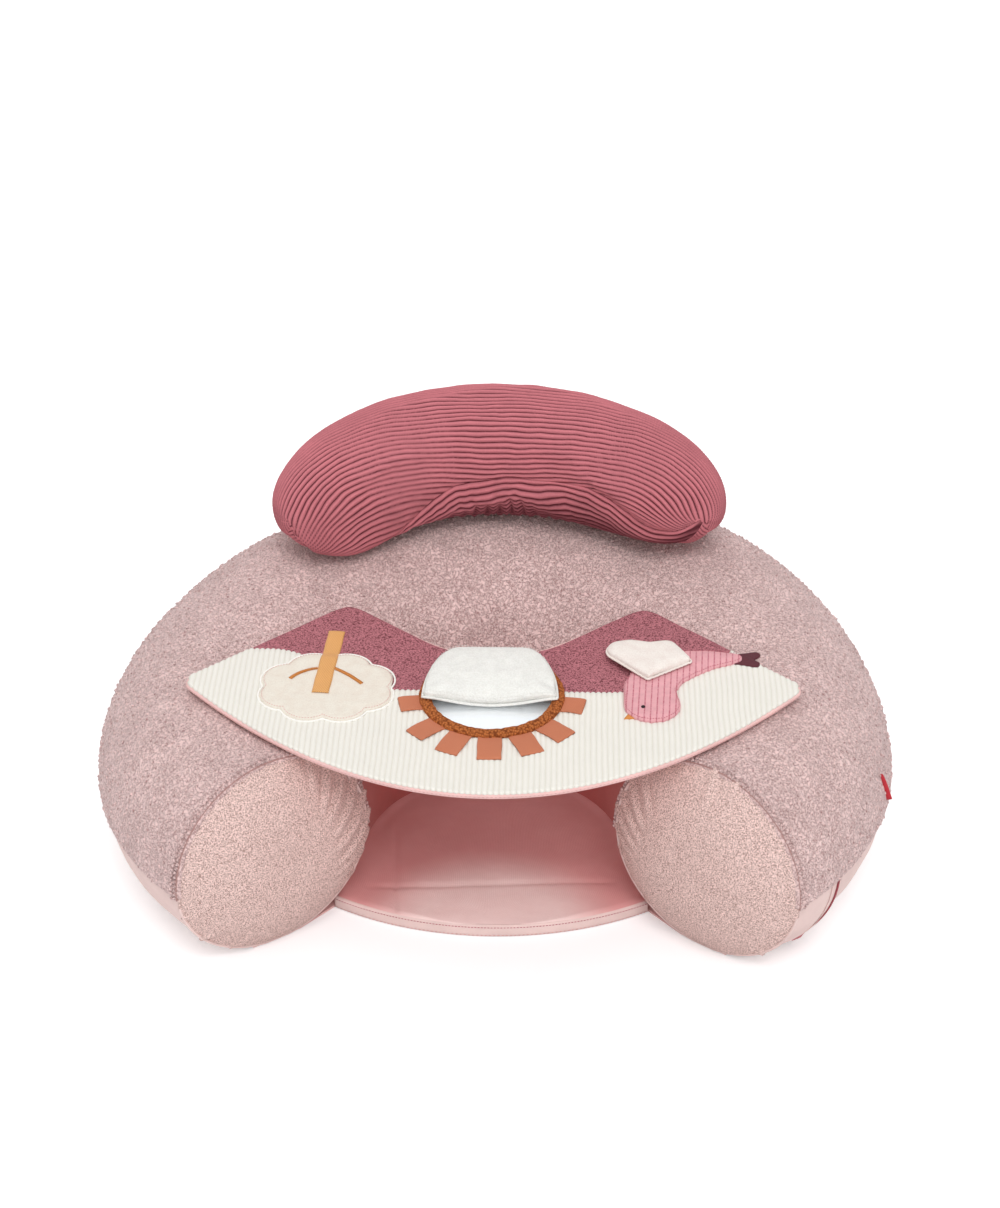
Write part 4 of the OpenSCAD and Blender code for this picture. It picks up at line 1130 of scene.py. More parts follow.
def rear_line(x):
    """The tray's rear edge: the belly notch, the straight rear edge, then the side."""
    x = np.abs(x)
    way = math.atan2(CORNER_Y - NOTCH_Y, CORNER_X)
    far = math.hypot(CORNER_X, CORNER_Y - NOTCH_Y)
    touch = way - math.acos(NOTCH_R / far)
    tx, ty = NOTCH_R * math.cos(touch), NOTCH_Y + NOTCH_R * math.sin(touch)
    arc = NOTCH_Y - np.sqrt(np.clip(NOTCH_R ** 2 - np.minimum(x, tx) ** 2, 0, None))
    straight = ty + (x - tx) * (CORNER_Y - ty) / (CORNER_X - tx)
    side = CORNER_Y + (x - CORNER_X) * (-TIP_Y - CORNER_Y) / (TIP_X - CORNER_X)
    line = np.where(x < tx, arc, np.minimum(straight, side))
    near = np.clip(1 - np.abs(x - CORNER_X) / 16, 0, 1)
    return line - 4.5 * near ** 2


def tray_outline(grow=0.0, count=96):
    """The tray's outline with its rounded tips, turning left, moved outwards by grow."""
    x = TIP_X * 0.985 * np.sin(np.linspace(-np.pi / 2, np.pi / 2, count))
    points = np.vstack([np.stack([x, front_line(x)], -1), np.stack([x, rear_line(x)], -1)[::-1]])
    keep = [points[0]]
    for p in points[1:]:
        if np.hypot(*(p - keep[-1])) > 1.0:
            keep.append(p)
    points = np.array(keep)
    for _ in range(3):
        points = smoothed(points)
    return grow_outline(points, grow)


def smoothed(points):
    """A closed outline, each point drawn halfway to the middle of its neighbours."""
    return points * 0.5 + (np.roll(points, 1, 0) + np.roll(points, -1, 0)) * 0.25


def outwards_of(points):
    """The outwards direction at each point of a closed outline that turns left."""
    way = unit(np.roll(points, -1, 0) - np.roll(points, 1, 0))
    return np.stack([way[:, 1], -way[:, 0]], -1)


def grow_outline(points, grow):
    """A closed outline that turns left, moved outwards."""
    return points + grow * outwards_of(points)


def at_height(points, height):
    """Points of a plan at a height, or each at its own."""
    return np.column_stack([points, np.broadcast_to(height, len(points))])


def outline_solid(name, outline, profile, finish):
    """A flat piece on the tray with a rounded edge. profile is a list of (outwards, height)."""
    rows = [at_height(grow_outline(outline, grow), high) for grow, high in profile]
    piece = grid_mesh(name, on_tray(np.array(rows)), finish, around=True, ends="flat")
    fix_outwards(piece)
    return piece


def make_tray_backing(woven, thread):
    """The woven underside of the tray, wrapped up round its edge, with an edge seam."""
    profile = [(-4.0, -6.45), (-0.6, -6.3), (0.9, -5.4), (1.7, -3.9), (1.8, -2.4), (1.2, -1.1),
               (-0.2, -0.7), (-1.6, -1.2), (-5.0, -1.45)]
    outline = tray_outline()
    piece = outline_solid("tray_backing_cloth", outline, profile, woven)
    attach(piece, TRAY)
    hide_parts("tray_backing", "tray_binding", "tray_padding")
    edge = grow_outline(outline, 1.95)
    line = stitch_line("tray_edge_stitch", on_tray(at_height(edge, -3.2)), at_height(outwards_of(edge), 0),
                       thread, 2.4, 1.2, 0.5, 0.45, closed=True)
    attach(line, TRAY)


def edge_lines(x, inset):
    """The tray's front and rear edge at each x, with its rounded tips, moved in by inset."""
    outline = tray_outline(-inset, 400)
    first, last = int(np.argmin(outline[:, 0])), int(np.argmax(outline[:, 0]))
    turned = np.roll(outline, -first, 0)
    last = (last - first) % len(outline)
    front, back = turned[:last + 1], np.vstack([turned[last:], turned[:1]])[::-1]
    return np.interp(x, front[:, 0], front[:, 1]), np.interp(x, back[:, 0], back[:, 1])


def make_tray_corduroy(finish):
    """The cream front panel: round ribs from the hill seam to the front edge, so that
    both edges are scalloped."""
    reach = tray_outline(-0.8, 400)[:, 0].max() - 0.2
    count = int(2 * reach / CREAM_PITCH * 10)
    x = np.linspace(-reach, reach, count)
    within = 2 * ((x / CREAM_PITCH) % 1.0) - 1
    rib = (0.5 + 0.5 * np.cos(np.pi * within)) ** 0.6
    front, rear = edge_lines(x, 0.8)
    back = np.minimum(hill_line(x) + 1.6 * rib - 0.8, rear + 0.5 * rib)
    front = front - 0.9 * rib
    v = np.concatenate([[0.0, 0.004], np.linspace(0.02, 0.97, 30), [0.985, 0.994, 1.0]])
    rows = []
    for share in v:
        y = back + (front - back) * share
        drift = np.array([noise.noise((a * 0.02, b * 0.03, 4.0)) for a, b in zip(x, y)]) * 0.7
        rows.append(np.column_stack([x + drift * np.clip((reach - np.abs(x)) / 6, 0, 1), y, 0.8 * rib]))
    points = np.array(rows)
    soft = ripple(points, 60, 4) * 0.6
    points[..., 2] += 0.2 + np.clip(soft, -0.4, 0.4)
    under_mirror = np.hypot(points[..., 0], points[..., 1] + MIRROR_Y) < BEZEL_R - 5
    points[..., 2] = np.where(under_mirror, -0.2, points[..., 2])
    points[0, :, 2] = -1.0
    points[1, :, 2] = 0.7 * rib - 0.2
    last = points[-1].copy()
    drop = []
    for out, high in ((-0.4, 0.2), (-0.5, -0.5), (-0.2, -1.0)):
        edge = last.copy()
        edge[:, 1] += out * (0.4 + 0.8 * rib)
        edge[:, 2] = high + 0.4 * rib
        drop.append(edge)
    points = np.concatenate([points, np.array(drop)], 0)
    piece = grid_mesh("tray_corduroy_cloth", on_tray(points), finish,
                      carried={"rib": np.broadcast_to(rib, points.shape[:2])})
    thicken(piece, TRAY_CLOTH_T)
    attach(piece, TRAY)
    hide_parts("tray_corduroy")


def make_tray_velour(finish):
    """The burgundy rear panel, soft and slightly creased."""
    reach = TIP_X - 20.0
    x = reach * np.sin(np.linspace(-1.45, 1.45, 320)) / math.sin(1.45)
    back = edge_lines(x, 0.5)[1]
    front = hill_line(x) - 1.0
    keep = back - front > 1.0
    x, back, front = x[keep], back[keep], front[keep]
    v = np.concatenate([[0, 0.006, 0.014], np.linspace(0.03, 0.97, 44), [0.985, 0.993, 1.0]])
    vv, xx = table_of(v, x)
    points = np.stack([xx, front + (back - front) * vv, 0 * xx], -1)
    edge = np.minimum(points[..., 1] - front, back - points[..., 1])
    soft = ripple(points, 42, 8) * 0.9 + ripple(points, 16, 3) * 0.3
    points[..., 2] = -1.6 + (1.6 + np.clip(soft, -0.5, 1.1)) * rounded(edge / 3.0)
    piece = grid_mesh("tray_velour_cloth", on_tray(points)[::-1], finish)
    thicken(piece, TRAY_CLOTH_T)
    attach(piece, TRAY)
    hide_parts("tray_velour")


# ---------- padded shapes ----------

def outline_of(rounds, middle, count):
    """The outline of a shape made of discs (x, y, radius), seen from its middle."""
    turn = np.radians(np.arange(count) * 360.0 / count)
    way = np.stack([np.cos(turn), np.sin(turn)], -1)
    points = np.array(middle) + np.linspace(150.0, 0.0, 1500)[None, :, None] * way[:, None]
    outside = np.min([np.hypot(points[..., 0] - x, points[..., 1] - y) - r for x, y, r in rounds], axis=0)
    return points[np.arange(count), np.argmax(outside < 0, axis=1)]


def chain(rounds, steps=10):
    """Discs filled in between neighbours, as in a hull."""
    return [tuple(p + (q - p) * (k / steps) for p, q in zip(a, b))
            for a, b in zip(rounds[:-1], rounds[1:]) for k in range(steps + 1)]


def sample_outline(outline, pitch):
    """Points every pitch along a closed outline."""
    closed = np.vstack([outline, outline[:1]])
    run = np.concatenate([[0], np.cumsum(np.linalg.norm(np.diff(closed, axis=0), axis=1))])
    at = np.arange(0, run[-1] - pitch * 0.5, pitch)
    return np.stack([np.interp(at, run, closed[:, 0]), np.interp(at, run, closed[:, 1])], -1)


def distance_inside(points, outline):
    """How far each point lies from an outline, for points within it."""
    dense = sample_outline(outline, 1.0)
    best = np.full(len(points), 1e9)
    for start in range(0, len(dense), 64):
        part = dense[start:start + 64]
        gap = np.linalg.norm(points[:, None] - part[None], axis=2).min(1)
        best = np.minimum(best, gap)
    return best


def puffed(name, outline, low, high, finish, crown, voxel, swell, seed=1.0):
    """A stuffed applique: a closed form with a rounded crown, blown up by a cloth
    simulation whose movement is capped, lying flat on what carries it."""
    rows = np.array([at_height(outline, low), at_height(outline, high)])
    piece = grid_mesh(name, rows, finish, around=True, ends="flat", uv=False)
    fix_outwards(piece)
    remesh = piece.modifiers.new("even", "REMESH")
    remesh.mode = "VOXEL"
    remesh.voxel_size = voxel * METRE
    bake_modifiers(piece)
    place = points_of(piece)
    edge = np.clip(distance_inside(place[:, :2], outline) / crown, 0, 1)
    middle = low + (high - low) * 0.30
    upper = place[:, 2] > (low + high) / 2
    place[:, 2] = np.where(upper, middle + (high - middle) * (0.25 + 0.75 * rounded(edge)), low)
    move_points(piece, place)
    place = blow_up(piece, place, swell, 4.0, 12.0)
    place[:, 2] = np.maximum(place[:, 2], low)
    place[:, 2] += np.where(upper, ripple(place, 13, seed) * 0.35 * edge, 0)
    move_points(piece, place)
    return piece


CLOTH_FRAMES = 20


def blow_up(piece, start, cap, pressure, stiffness):
    """Runs a pressurised cloth on a piece and returns its points, moved from start by at most cap."""
    scene = bpy.context.scene
    scene.frame_set(1)
    cloth = piece.modifiers.new("stuffing", "CLOTH")
    settings = cloth.settings
    settings.quality = 5
    settings.use_pressure = True
    settings.uniform_pressure_force = pressure
    settings.effector_weights.gravity = 0
    settings.tension_stiffness = stiffness
    settings.compression_stiffness = stiffness
    settings.bending_stiffness = 0.6
    settings.mass = 0.2
    cloth.collision_settings.use_collision = False
    cloth.point_cache.frame_start = 1
    cloth.point_cache.frame_end = CLOTH_FRAMES
    for step in range(1, CLOTH_FRAMES + 1):
        scene.frame_set(step)
    blown = points_of(piece.evaluated_get(bpy.context.evaluated_depsgraph_get()))
    piece.modifiers.clear()
    scene.frame_set(1)
    move = blown - start
    far = np.linalg.norm(move, axis=1, keepdims=True)
    return start + move * (cap * np.tanh(far / cap) / np.maximum(far, 1e-6))


BARE_TRAY, NEAR_POINT = 0.7, 2.6


def height_on(surface, path):
    """A padded surface's height under each point of a path, or the bare tray's beside it."""
    high = []
    for x, y in path[:, :2]:
        near = surface[np.hypot(surface[:, 0] - x, surface[:, 1] - y) < NEAR_POINT, 2]
        high.append(near.max() if len(near) else BARE_TRAY)
    return np.array(high)


def seat_on_tray(piece):
    """Moves a piece made in the tray's flat plane to the tray's place, and smooths it."""
    move_points(piece, on_tray(points_of(piece)))
    shade_smooth(piece.data)
    finer = piece.modifiers.new("finer", "SUBSURF")
    finer.levels = 1
    bake_modifiers(piece)


def lift_path(outline, inset, height):
    """A path on the tray: an outline moved in, at a height above the tray."""
    return on_tray(at_height(grow_outline(outline, -inset), height))


# ---------- mirror, flap and rays ----------

def make_bezel(finish, thread):
    """The terry ring round the mirror, a soft round section."""
    turn = np.arange(0, 360, 1.5)
    section = np.arange(0, 360, 15.0)
    aa, bb = table_of(turn, section)
    middle = BEZEL_R - BEZEL_W / 2
    base = np.stack([middle * cosd(aa), middle * sind(aa), 3.6 + 0 * aa], -1)
    lumps = ripple(base + np.stack([cosd(bb) * 5, sind(bb) * 5, sind(bb) * 5], -1), 5, 3) * 0.75
    lumps = lumps + ripple(base, 30, 6) * 0.45
    out = BEZEL_W / 2 + lumps
    high = np.where(sind(bb) > 0, BEZEL_H - 3.0, 2.6) + lumps * 0.8
    r = middle + out * cosd(bb)
    points = np.stack([r * cosd(aa), r * sind(aa) - MIRROR_Y, 3.0 + high * sind(bb)], -1)
    piece = grid_mesh("mirror_bezel_terry", on_tray(points), finish, around=True, loop=True)
    fix_outwards(piece)
    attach(piece, TRAY)
    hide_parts("mirror_bezel")
    inner = BEZEL_R - BEZEL_W + 0.4
    ring = np.stack([inner * cosd(turn), inner * sind(turn) - MIRROR_Y, 3.4 + 0 * turn], -1)
    line = stitch_line("mirror_bezel_stitch", on_tray(ring), UP, thread, 2.4, 1.0, 0.6, 0.6, closed=True)
    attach(line, TRAY)


def flap_outline():
    """The flap's outline: a bowed free edge in front, rounded rear corners."""
    half, root, front, back = 60.0, 28.0, 14.0, 62.0
    x = np.linspace(-half, half, 41)
    free = np.stack([x, -front - 6.0 * (1 - (x / half) ** 2)], -1)
    a = np.linspace(0, 90, 20)[1:]
    right = np.stack([root + (half - root) * cosd(a), -front + (back + front) * sind(a)], -1)
    left = np.stack([-right[::-1, 0], right[::-1, 1]], -1)
    points = np.vstack([free, right, left[:-1]])
    points -= np.array([1.5, MIRROR_Y])
    return sample_outline(points, 3.0)


def flap_sag(x, y):
    """How far the flap's free edge sinks between the two sides of the bezel."""
    across = np.clip(1 - ((x + 1.5) / 50.0) ** 2, 0, 1) ** 1.5
    return 4.2 * across * ease((-MIRROR_Y + 14.0 - y) / 30.0)


def make_flap(finish, thread):
    """The padded terry flap over the rear half of the mirror."""
    outline = flap_outline()
    piece = puffed("mirror_flap_terry", grow_outline(outline, -1.2), 7.5, 16.0, finish, 13.0, 3.0, 2.6,
                   seed=3.0)
    surface = points_of(piece)
    surface[:, 2] -= flap_sag(surface[:, 0], surface[:, 1])
    move_points(piece, surface)
    seat_on_tray(piece)
    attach(piece, "mirror_flap")
    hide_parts("mirror_flap")
    cord_line = grow_outline(outline, -1.2)
    high = 9.4 - flap_sag(cord_line[:, 0], cord_line[:, 1])
    edge = tube_along("mirror_flap_edge", lift_path(outline, 1.2, high), 1.25, finish, closed=True)
    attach(edge, "mirror_flap")
    seam = grow_outline(outline, -3.4)
    line = stitch_line("mirror_flap_stitch", lift_path(seam, 0.0, height_on(surface, seam)), UP, thread,
                       2.0, 1.0, 0.5, 0.5, closed=True)
    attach(line, "mirror_flap")


RAY_ANGLES, RAY_POINTS, RAY_HALF = (-79, -47, -23.5, 0, 23.5, 47, 79), 33, 10.5


def sewn_edge(piece):
    """Bakes a piece's placement into its mesh."""
    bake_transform(piece)


def make_rays(finish):
    """Seven folded ribbon tabs round the front of the bezel, each a piece of its own."""
    for number, angle in enumerate(RAY_ANGLES, 1):
        length = 30.0 - 12.0 * (angle / RAY_ANGLES[-1]) ** 2
        rows = []
        lean = (number * 7 % 5 - 2) * 0.25
        fray = np.array([noise.noise((k * 0.9, number * 3.7, 0.0)) for k in range(RAY_POINTS)])
        for y in np.concatenate([np.linspace(0.0, 0.94, 12), [0.965, 0.985, 1.0]]):
            arch = 0.7 * math.sin(math.pi * y) + 1.9
            half = RAY_HALF + 0.2 * math.sin(9 * y + number)
            thick = 0.9 if y < 0.95 else 0.9 - 12.0 * (y - 0.95)
            x = np.linspace(-half, half, RAY_POINTS)
            ragged = (0.7 * fray + 0.3 * (np.arange(RAY_POINTS) % 2)) * ease((y - 0.955) / 0.045)
            reach = -BEZEL_R + 3.0 - (length + 3.2) * y + ragged
            curl = 0.5 * (x / half) ** 2 * y + lean * x / half * y
            top = np.column_stack([x, reach, arch + curl + thick])
            low = np.column_stack([x, reach, np.maximum(arch + curl - 0.3, 1.2)])
            rows.append(np.vstack([top, low[::-1]]))
        points = np.array(rows)
        c, s = math.cos(math.radians(angle)), math.sin(math.radians(angle))
        x, y = points[..., 0].copy(), points[..., 1].copy()
        points[..., 0] = x * c - y * s
        points[..., 1] = x * s + y * c - MIRROR_Y
        piece = grid_mesh("sun_ray_%d_ribbon" % number, on_tray(points), finish, around=True, ends="flat")
        fix_outwards(piece)
        sewn_edge(piece)
        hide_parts("sun_ray_%d" % number)


# ---------- tree ----------

TREE_X, TREE_Y, BRANCH_R = 146.0, 57.0, 36.0


def foliage_rounds(inset=0.0):
    """Eight lobes round a middle disc, each made smaller by inset."""
    rounds = [(-TREE_X, -TREE_Y, 36.0 - inset)]
    for i in range(8):
        a = 45.0 * (i + 0.5)
        rounds.append((-TREE_X + 38 * float(cosd(a)), -TREE_Y + 30 * float(sind(a)), 25.0 - inset))
    return rounds


def trunk_place(points):
    """From the trunk's own line, y along it, to the tray's plane."""
    a = math.radians(-4.0)
    x, y = points[..., 0], points[..., 1]
    return np.stack([-TREE_X - 4 + x * math.cos(a) - y * math.sin(a),
                     -TREE_Y + x * math.sin(a) + y * math.cos(a), points[..., 2]], -1)


def laid_on(surface, path, lift):
    """A path on the tray that follows a padded surface, smoothed so that it lies taut."""
    high = height_on(surface, path)
    for _ in range(12):
        high[1:-1] = np.maximum(high[1:-1] * 0.5 + (high[:-2] + high[2:]) * 0.25, 0)
    return np.column_stack([path[:, :2], high + lift])


def make_tree(pad_finish, edge_finish, pink, ribbon, branch_finish):
    """Padded foliage with a raised edge and stitching, a twill trunk, sewn branches."""
    outline = outline_of(foliage_rounds(), (-TREE_X, -TREE_Y), 220)
    piece = puffed("foliage_velour", grow_outline(outline, -1.0), 0.2, 4.2, pad_finish, 8.0, 2.8, 0.8)
    surface = points_of(piece)
    seat_on_tray(piece)
    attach(piece, TRAY)
    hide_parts("foliage_pad")
    edge = tube_along("foliage_edge", lift_path(outline, 0.5, 1.9), 0.9, edge_finish, closed=True)
    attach(edge, TRAY)
    inner = outline_of(foliage_rounds(3.6), (-TREE_X, -TREE_Y), 220)
    line = stitch_line("foliage_stitch", lift_path(inner, 0.0, height_on(surface, inner) + 0.1), UP,
                       pink, 1.8, 0.8, 0.6, 0.5, closed=True)
    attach(line, TRAY)
    y = np.linspace(-12, 90, 70)
    middle = laid_on(surface, trunk_place(np.column_stack([0 * y, y, 0 * y])), 0.5)
    rows = []
    for a, h in zip(y, middle[:, 2]):
        half = 7.5 + 0.15 * math.sin(a * 0.21)
        x = np.linspace(-half, half, 9)
        arch = 0.5 * (1 - (x / half) ** 2)
        top = np.column_stack([x, np.full(9, a), h + arch + 0.7])
        low = np.column_stack([x[::-1], np.full(9, a), h + arch[::-1] - 0.3])
        rows.append(np.vstack([top, low]))
    trunk = grid_mesh("trunk_ribbon_twill", on_tray(trunk_place(np.array(rows))), ribbon, around=True,
                      ends="flat")
    fix_outwards(trunk)
    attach(trunk, TRAY)
    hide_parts("trunk_ribbon")
    a = np.linspace(13, 59, 30)
    left = np.column_stack([-TREE_X - 2 - BRANCH_R * sind(a), -TREE_Y + 27 - BRANCH_R + BRANCH_R * cosd(a)])
    s = np.linspace(0, 1, 30)
    right = np.column_stack([-142.5 + 27 * s, -30.0 - 16.5 * s - 7.5 * s * s])
    limbs = [stitch_line("branch", on_tray(laid_on(surface, path, 0.55)), UP, branch_finish,
                         0.62, 0.02, 4.4, 1.6) for path in (left, right)]
    merge_into(limbs[0], limbs[1:], "tree_branches_stitched")
    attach(limbs[0], TRAY)
    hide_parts("tree_branches")


# ---------- bird ----------

BIRD_X, BIRD_Y = 140.0, 79.0
BODY_LINE = [(0, 0, 26), (-2, 25, 24), (8, 50, 25), (30, 64, 21), (50, 71, 15), (75, 74, 8)]


def bird_plan(rounds, inset=0.0):
    """Discs placed from the middle of the bird's head, made smaller by inset."""
    return [(BIRD_X + x, -BIRD_Y + y, r - inset) for x, y, r in rounds]


def wing_rounds():
    """The wing's discs: two lobes of feathers spread from its sewn root."""
    root_a, root_b = (-3, 34.5, 3.5), (33, 60.5, 3.5)
    row = []
    for lobe in ([(-26, 74, 14), (-17, 78, 12.5)], [(14, 79, 11)]):
        for c in lobe:
            row += chain([root_a, c]) + chain([root_b, c])
        row += chain(lobe) if len(lobe) > 1 else []
    return row + chain([root_a, root_b]) + chain([(-17, 78, 12.5), (-1, 77.5, 9.5), (14, 79, 11)])


def make_bird(body_finish, rose, tail_finish, beak_finish, eye_finish, wing_finish, wing_edge):
    """The padded striped bird with its felt tail, beak, eye and hinged wing."""
    middle = (BIRD_X + 14, -BIRD_Y + 44)
    outline = outline_of(bird_plan(chain(BODY_LINE)), middle, 200)
    piece = puffed("bird_body_velour", grow_outline(outline, -0.8), 0.2, 6.4, body_finish, 12.0, 2.6,
                   1.4, seed=5.0)
    surface = points_of(piece)
    seat_on_tray(piece)
    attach(piece, TRAY)
    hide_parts("bird_body")
    inner = outline_of(bird_plan(chain(BODY_LINE), 2.4), middle, 200)
    line = stitch_line("bird_body_stitch", lift_path(inner, 0.0, height_on(surface, inner)), UP, rose,
                       1.8, 0.7, 0.6, 0.6, closed=True)
    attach(line, TRAY)
    fork = chain([(74, 74, 7), (86, 77, 6.5), (94, 81, 4.6)])
    fork += chain([(74, 74, 7), (86, 71, 6.5), (93, 67, 4.6)])
    tail = outline_of(bird_plan(fork), (BIRD_X + 80, -BIRD_Y + 74), 120)
    felt = outline_solid("bird_tail_felt", tail, [(-0.4, 0.9), (0, 1.5), (0, 2.3), (-0.6, 2.9)], tail_finish)
    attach(felt, TRAY)
    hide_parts("bird_tail")
    corner = np.array([(BIRD_X - 25, -BIRD_Y - 20), (BIRD_X - 19, -BIRD_Y - 9), (BIRD_X - 14, -BIRD_Y - 19)])
    beak = smoothed(sample_outline(corner, 1.2))[::-1]
    beak_piece = outline_solid("bird_beak_felt", beak, [(-0.4, 0.9), (0, 1.4), (0, 2.2), (-0.7, 2.9)],
                               beak_finish)
    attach(beak_piece, TRAY)
    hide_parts("bird_beak")
    eye = eye_mesh(eye_finish, surface)
    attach(eye, TRAY)
    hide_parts("bird_eye")
    wing = outline_of(bird_plan(wing_rounds()), (BIRD_X + 2, -BIRD_Y + 70), 140)
    pad = puffed("bird_wing_velour", grow_outline(wing, -0.9), 7.4, 14.2, wing_finish, 9.0, 2.6, 1.8,
                 seed=8.0)
    seat_on_tray(pad)
    sewn_edge(pad)
    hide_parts("bird_wing")
    edge = tube_along("bird_wing_edge", lift_path(wing, 0.7, 8.6), 1.0, wing_edge, closed=True)
    sewn_edge(edge)


def eye_mesh(finish, surface):
    """A small sewn dome that stands on the body."""
    turn = np.arange(0, 360, 20.0)
    x, y = BIRD_X - 8.0, -BIRD_Y - 7.5
    foot = float(height_on(surface, np.array([[x, y]]))[0])
    rows = [np.column_stack([x + out * cosd(turn), y + out * sind(turn), foot + high + 0 * turn])
            for out, high in ((1.9, -1.2), (1.9, 0.3), (1.6, 0.8), (1.0, 1.1), (0.3, 1.2))]
    piece = grid_mesh("bird_eye_stitched", on_tray(np.array(rows)), finish, around=True, ends="flat")
    fix_outwards(piece)
    return piece


# ---------- the head cushion ----------

CUSHION_R, CUSHION_ANGLE, CUSHION_H, CUSHION_TAPER = 234.0, 56.0, 120.0, 6.0
CUSHION_ROUND, CUSHION_SQUASH, CORD_T = 1.1, 4.0, 1.5
ROSE_PITCH, FRONT_PITCH, RIB_STRAIGHT = 5.2, 5.0, 0.6
FOOT_FRONT, FOOT_BACK = 248.0, 292.0    # the underside's two seams, degrees round the section
PANEL_T, FLEECE_SIDE = 0.9, 0.75


def fleece_top(r, t):
    """The fleece's height under the cushion, at a distance r from the ring's centre."""
    wide = half_width(t) + FLEECE_T
    share = np.clip((r - RING_R) / wide, -FLEECE_SIDE, FLEECE_SIDE)
    f = np.degrees(np.arccos(share))
    return centre_height(t) + (half_height(t) + FLEECE_T + shoulder(t, f)) * sind(f)


def cushion_half_height(u):
    """Half the cushion's height before its ends are rounded off."""
    return CUSHION_H / 2 - CORD_T - CUSHION_TAPER / 2 * u * u


def cushion_section(u):
    """Half the cushion's height with its blunt, rounded ends."""
    return cushion_half_height(u) * np.sqrt(np.clip(1 - np.abs(u) ** 6, 0.00003, 1))


def cushion_point(u, f, out):
    """A point on the cushion: u along it, f round its section, out from its filling."""
    t = CUSHION_ANGLE * u
    full, h = cushion_half_height(u), cushion_section(u)
    low = crest(t) + TAPE_GAP
    z = low + CORD_T + full - CUSHION_SQUASH + (h + out) * sind(f)
    r = CUSHION_R + (h * CUSHION_ROUND + out) * cosd(f)
    bed = fleece_top(r, t) + TAPE_GAP
    z = z + (bed - low) * ease(-sind(f) / 0.8)
    return polar(r, t, np.maximum(z, bed + CORD_T - out))


def seam_angle(u):
    """Where the front panel's upper seam runs: level in the middle, sinking to the feet."""
    places = (-1.0, -0.88, -0.77, -0.67, -0.56, -0.46, -0.37, -0.25,
              0.0, 0.25, 0.40, 0.52, 0.65, 0.76, 0.88, 1.0)
    angles = (243, 243, 238, 226, 211, 201, 194, 187, 183, 181, 178, 177, 181, 190, 203, 212)
    return np.interp(u, places, angles)


def finer(values, at, periodic):
    """Rows of a table at fractional places, on a smooth curve through them."""
    n = len(values)
    i = np.floor(at).astype(int)
    s = (at - i)[:, None, None]
    take = (lambda k: values[k % n]) if periodic else (lambda k: values[np.clip(k, 0, n - 1)])
    a, b, c, d = take(i - 1), take(i), take(i + 1), take(i + 2)
    return b + 0.5 * s * (c - a + s * (2 * a - 5 * b + 4 * c - d + s * (3 * (b - c) + d - a)))


def stuffed_cushion(rows, across):
    """The cushion's coarse shape: pulled in at its seams, blown up between them."""
    u = np.sin(np.radians(90 * 0.999 * np.linspace(-1, 1, rows)))
    f = np.arange(across) * 360.0 / across
    uu, ff = table_of(u, f)
    size = cushion_section(uu)
    gap = (ff - seam_angle(uu)) / RADIAN * size
    pull = 1.6 * bump_at(gap, 0, 6) + 3.0 * bump_at((ff - FOOT_BACK) / RADIAN * size, 0, 8)
    pull = pull + 2.5 * bump_at((ff - FOOT_FRONT) / RADIAN * size, 0, 7)
    taut = np.clip((1 - np.abs(uu)) / 0.08, 0, 1)
    gather = bump_at(uu, 0, 0.30) * bump_at(ff, 226, 26)
    pleat = np.sin(uu * 92 + 1.5 * np.sin(ff / 9)) * 2.8 * gather
    points = cushion_point(uu, ff, 0.4 - pull * taut + pleat)
    droop = 9.0 * np.clip((-uu - 0.45) / 0.55, 0, 1) ** 1.5
    points[..., 2] -= droop * (0.35 + 0.65 * np.clip(sind(ff), 0, 1))
    overhang = bump_at(ff, 205, 42) * ease((np.abs(uu) - 0.35) / 0.5)
    points[..., 2] -= np.where(uu < 0, 14.0, -6.0) * overhang
    soft = ripple(points, 75, 4) * 0.5 + ripple(points, 32, 7) * 0.7
    points = points + (cushion_point(uu, ff, soft) - cushion_point(uu, ff, 0 * soft))
    shape = grid_mesh("cushion_form", points[:, ::-1], FINISH["corduroy_rose"], around=True,
                      ends="point", uv=False)
    start = np.vstack([points[:, ::-1].reshape(-1, 3), points[0].mean(0), points[-1].mean(0)])
    held = shape.vertex_groups.new(name="held")
    sewn = np.exp(-(gap / 5.0) ** 2)[:, ::-1].reshape(-1)
    flat = ((ff > FOOT_FRONT) & (ff < FOOT_BACK))[:, ::-1].reshape(-1)
    for index in np.nonzero((sewn > 0.5) | flat)[0]:
        held.add([int(index)], 1.0, "REPLACE")
    blown = blow_up(shape, start, 3.6, 3.0, 8.0)
    points = blown[:rows * across].reshape(rows, across, 3)[:, ::-1]
    bpy.data.objects.remove(shape)
    return u, points


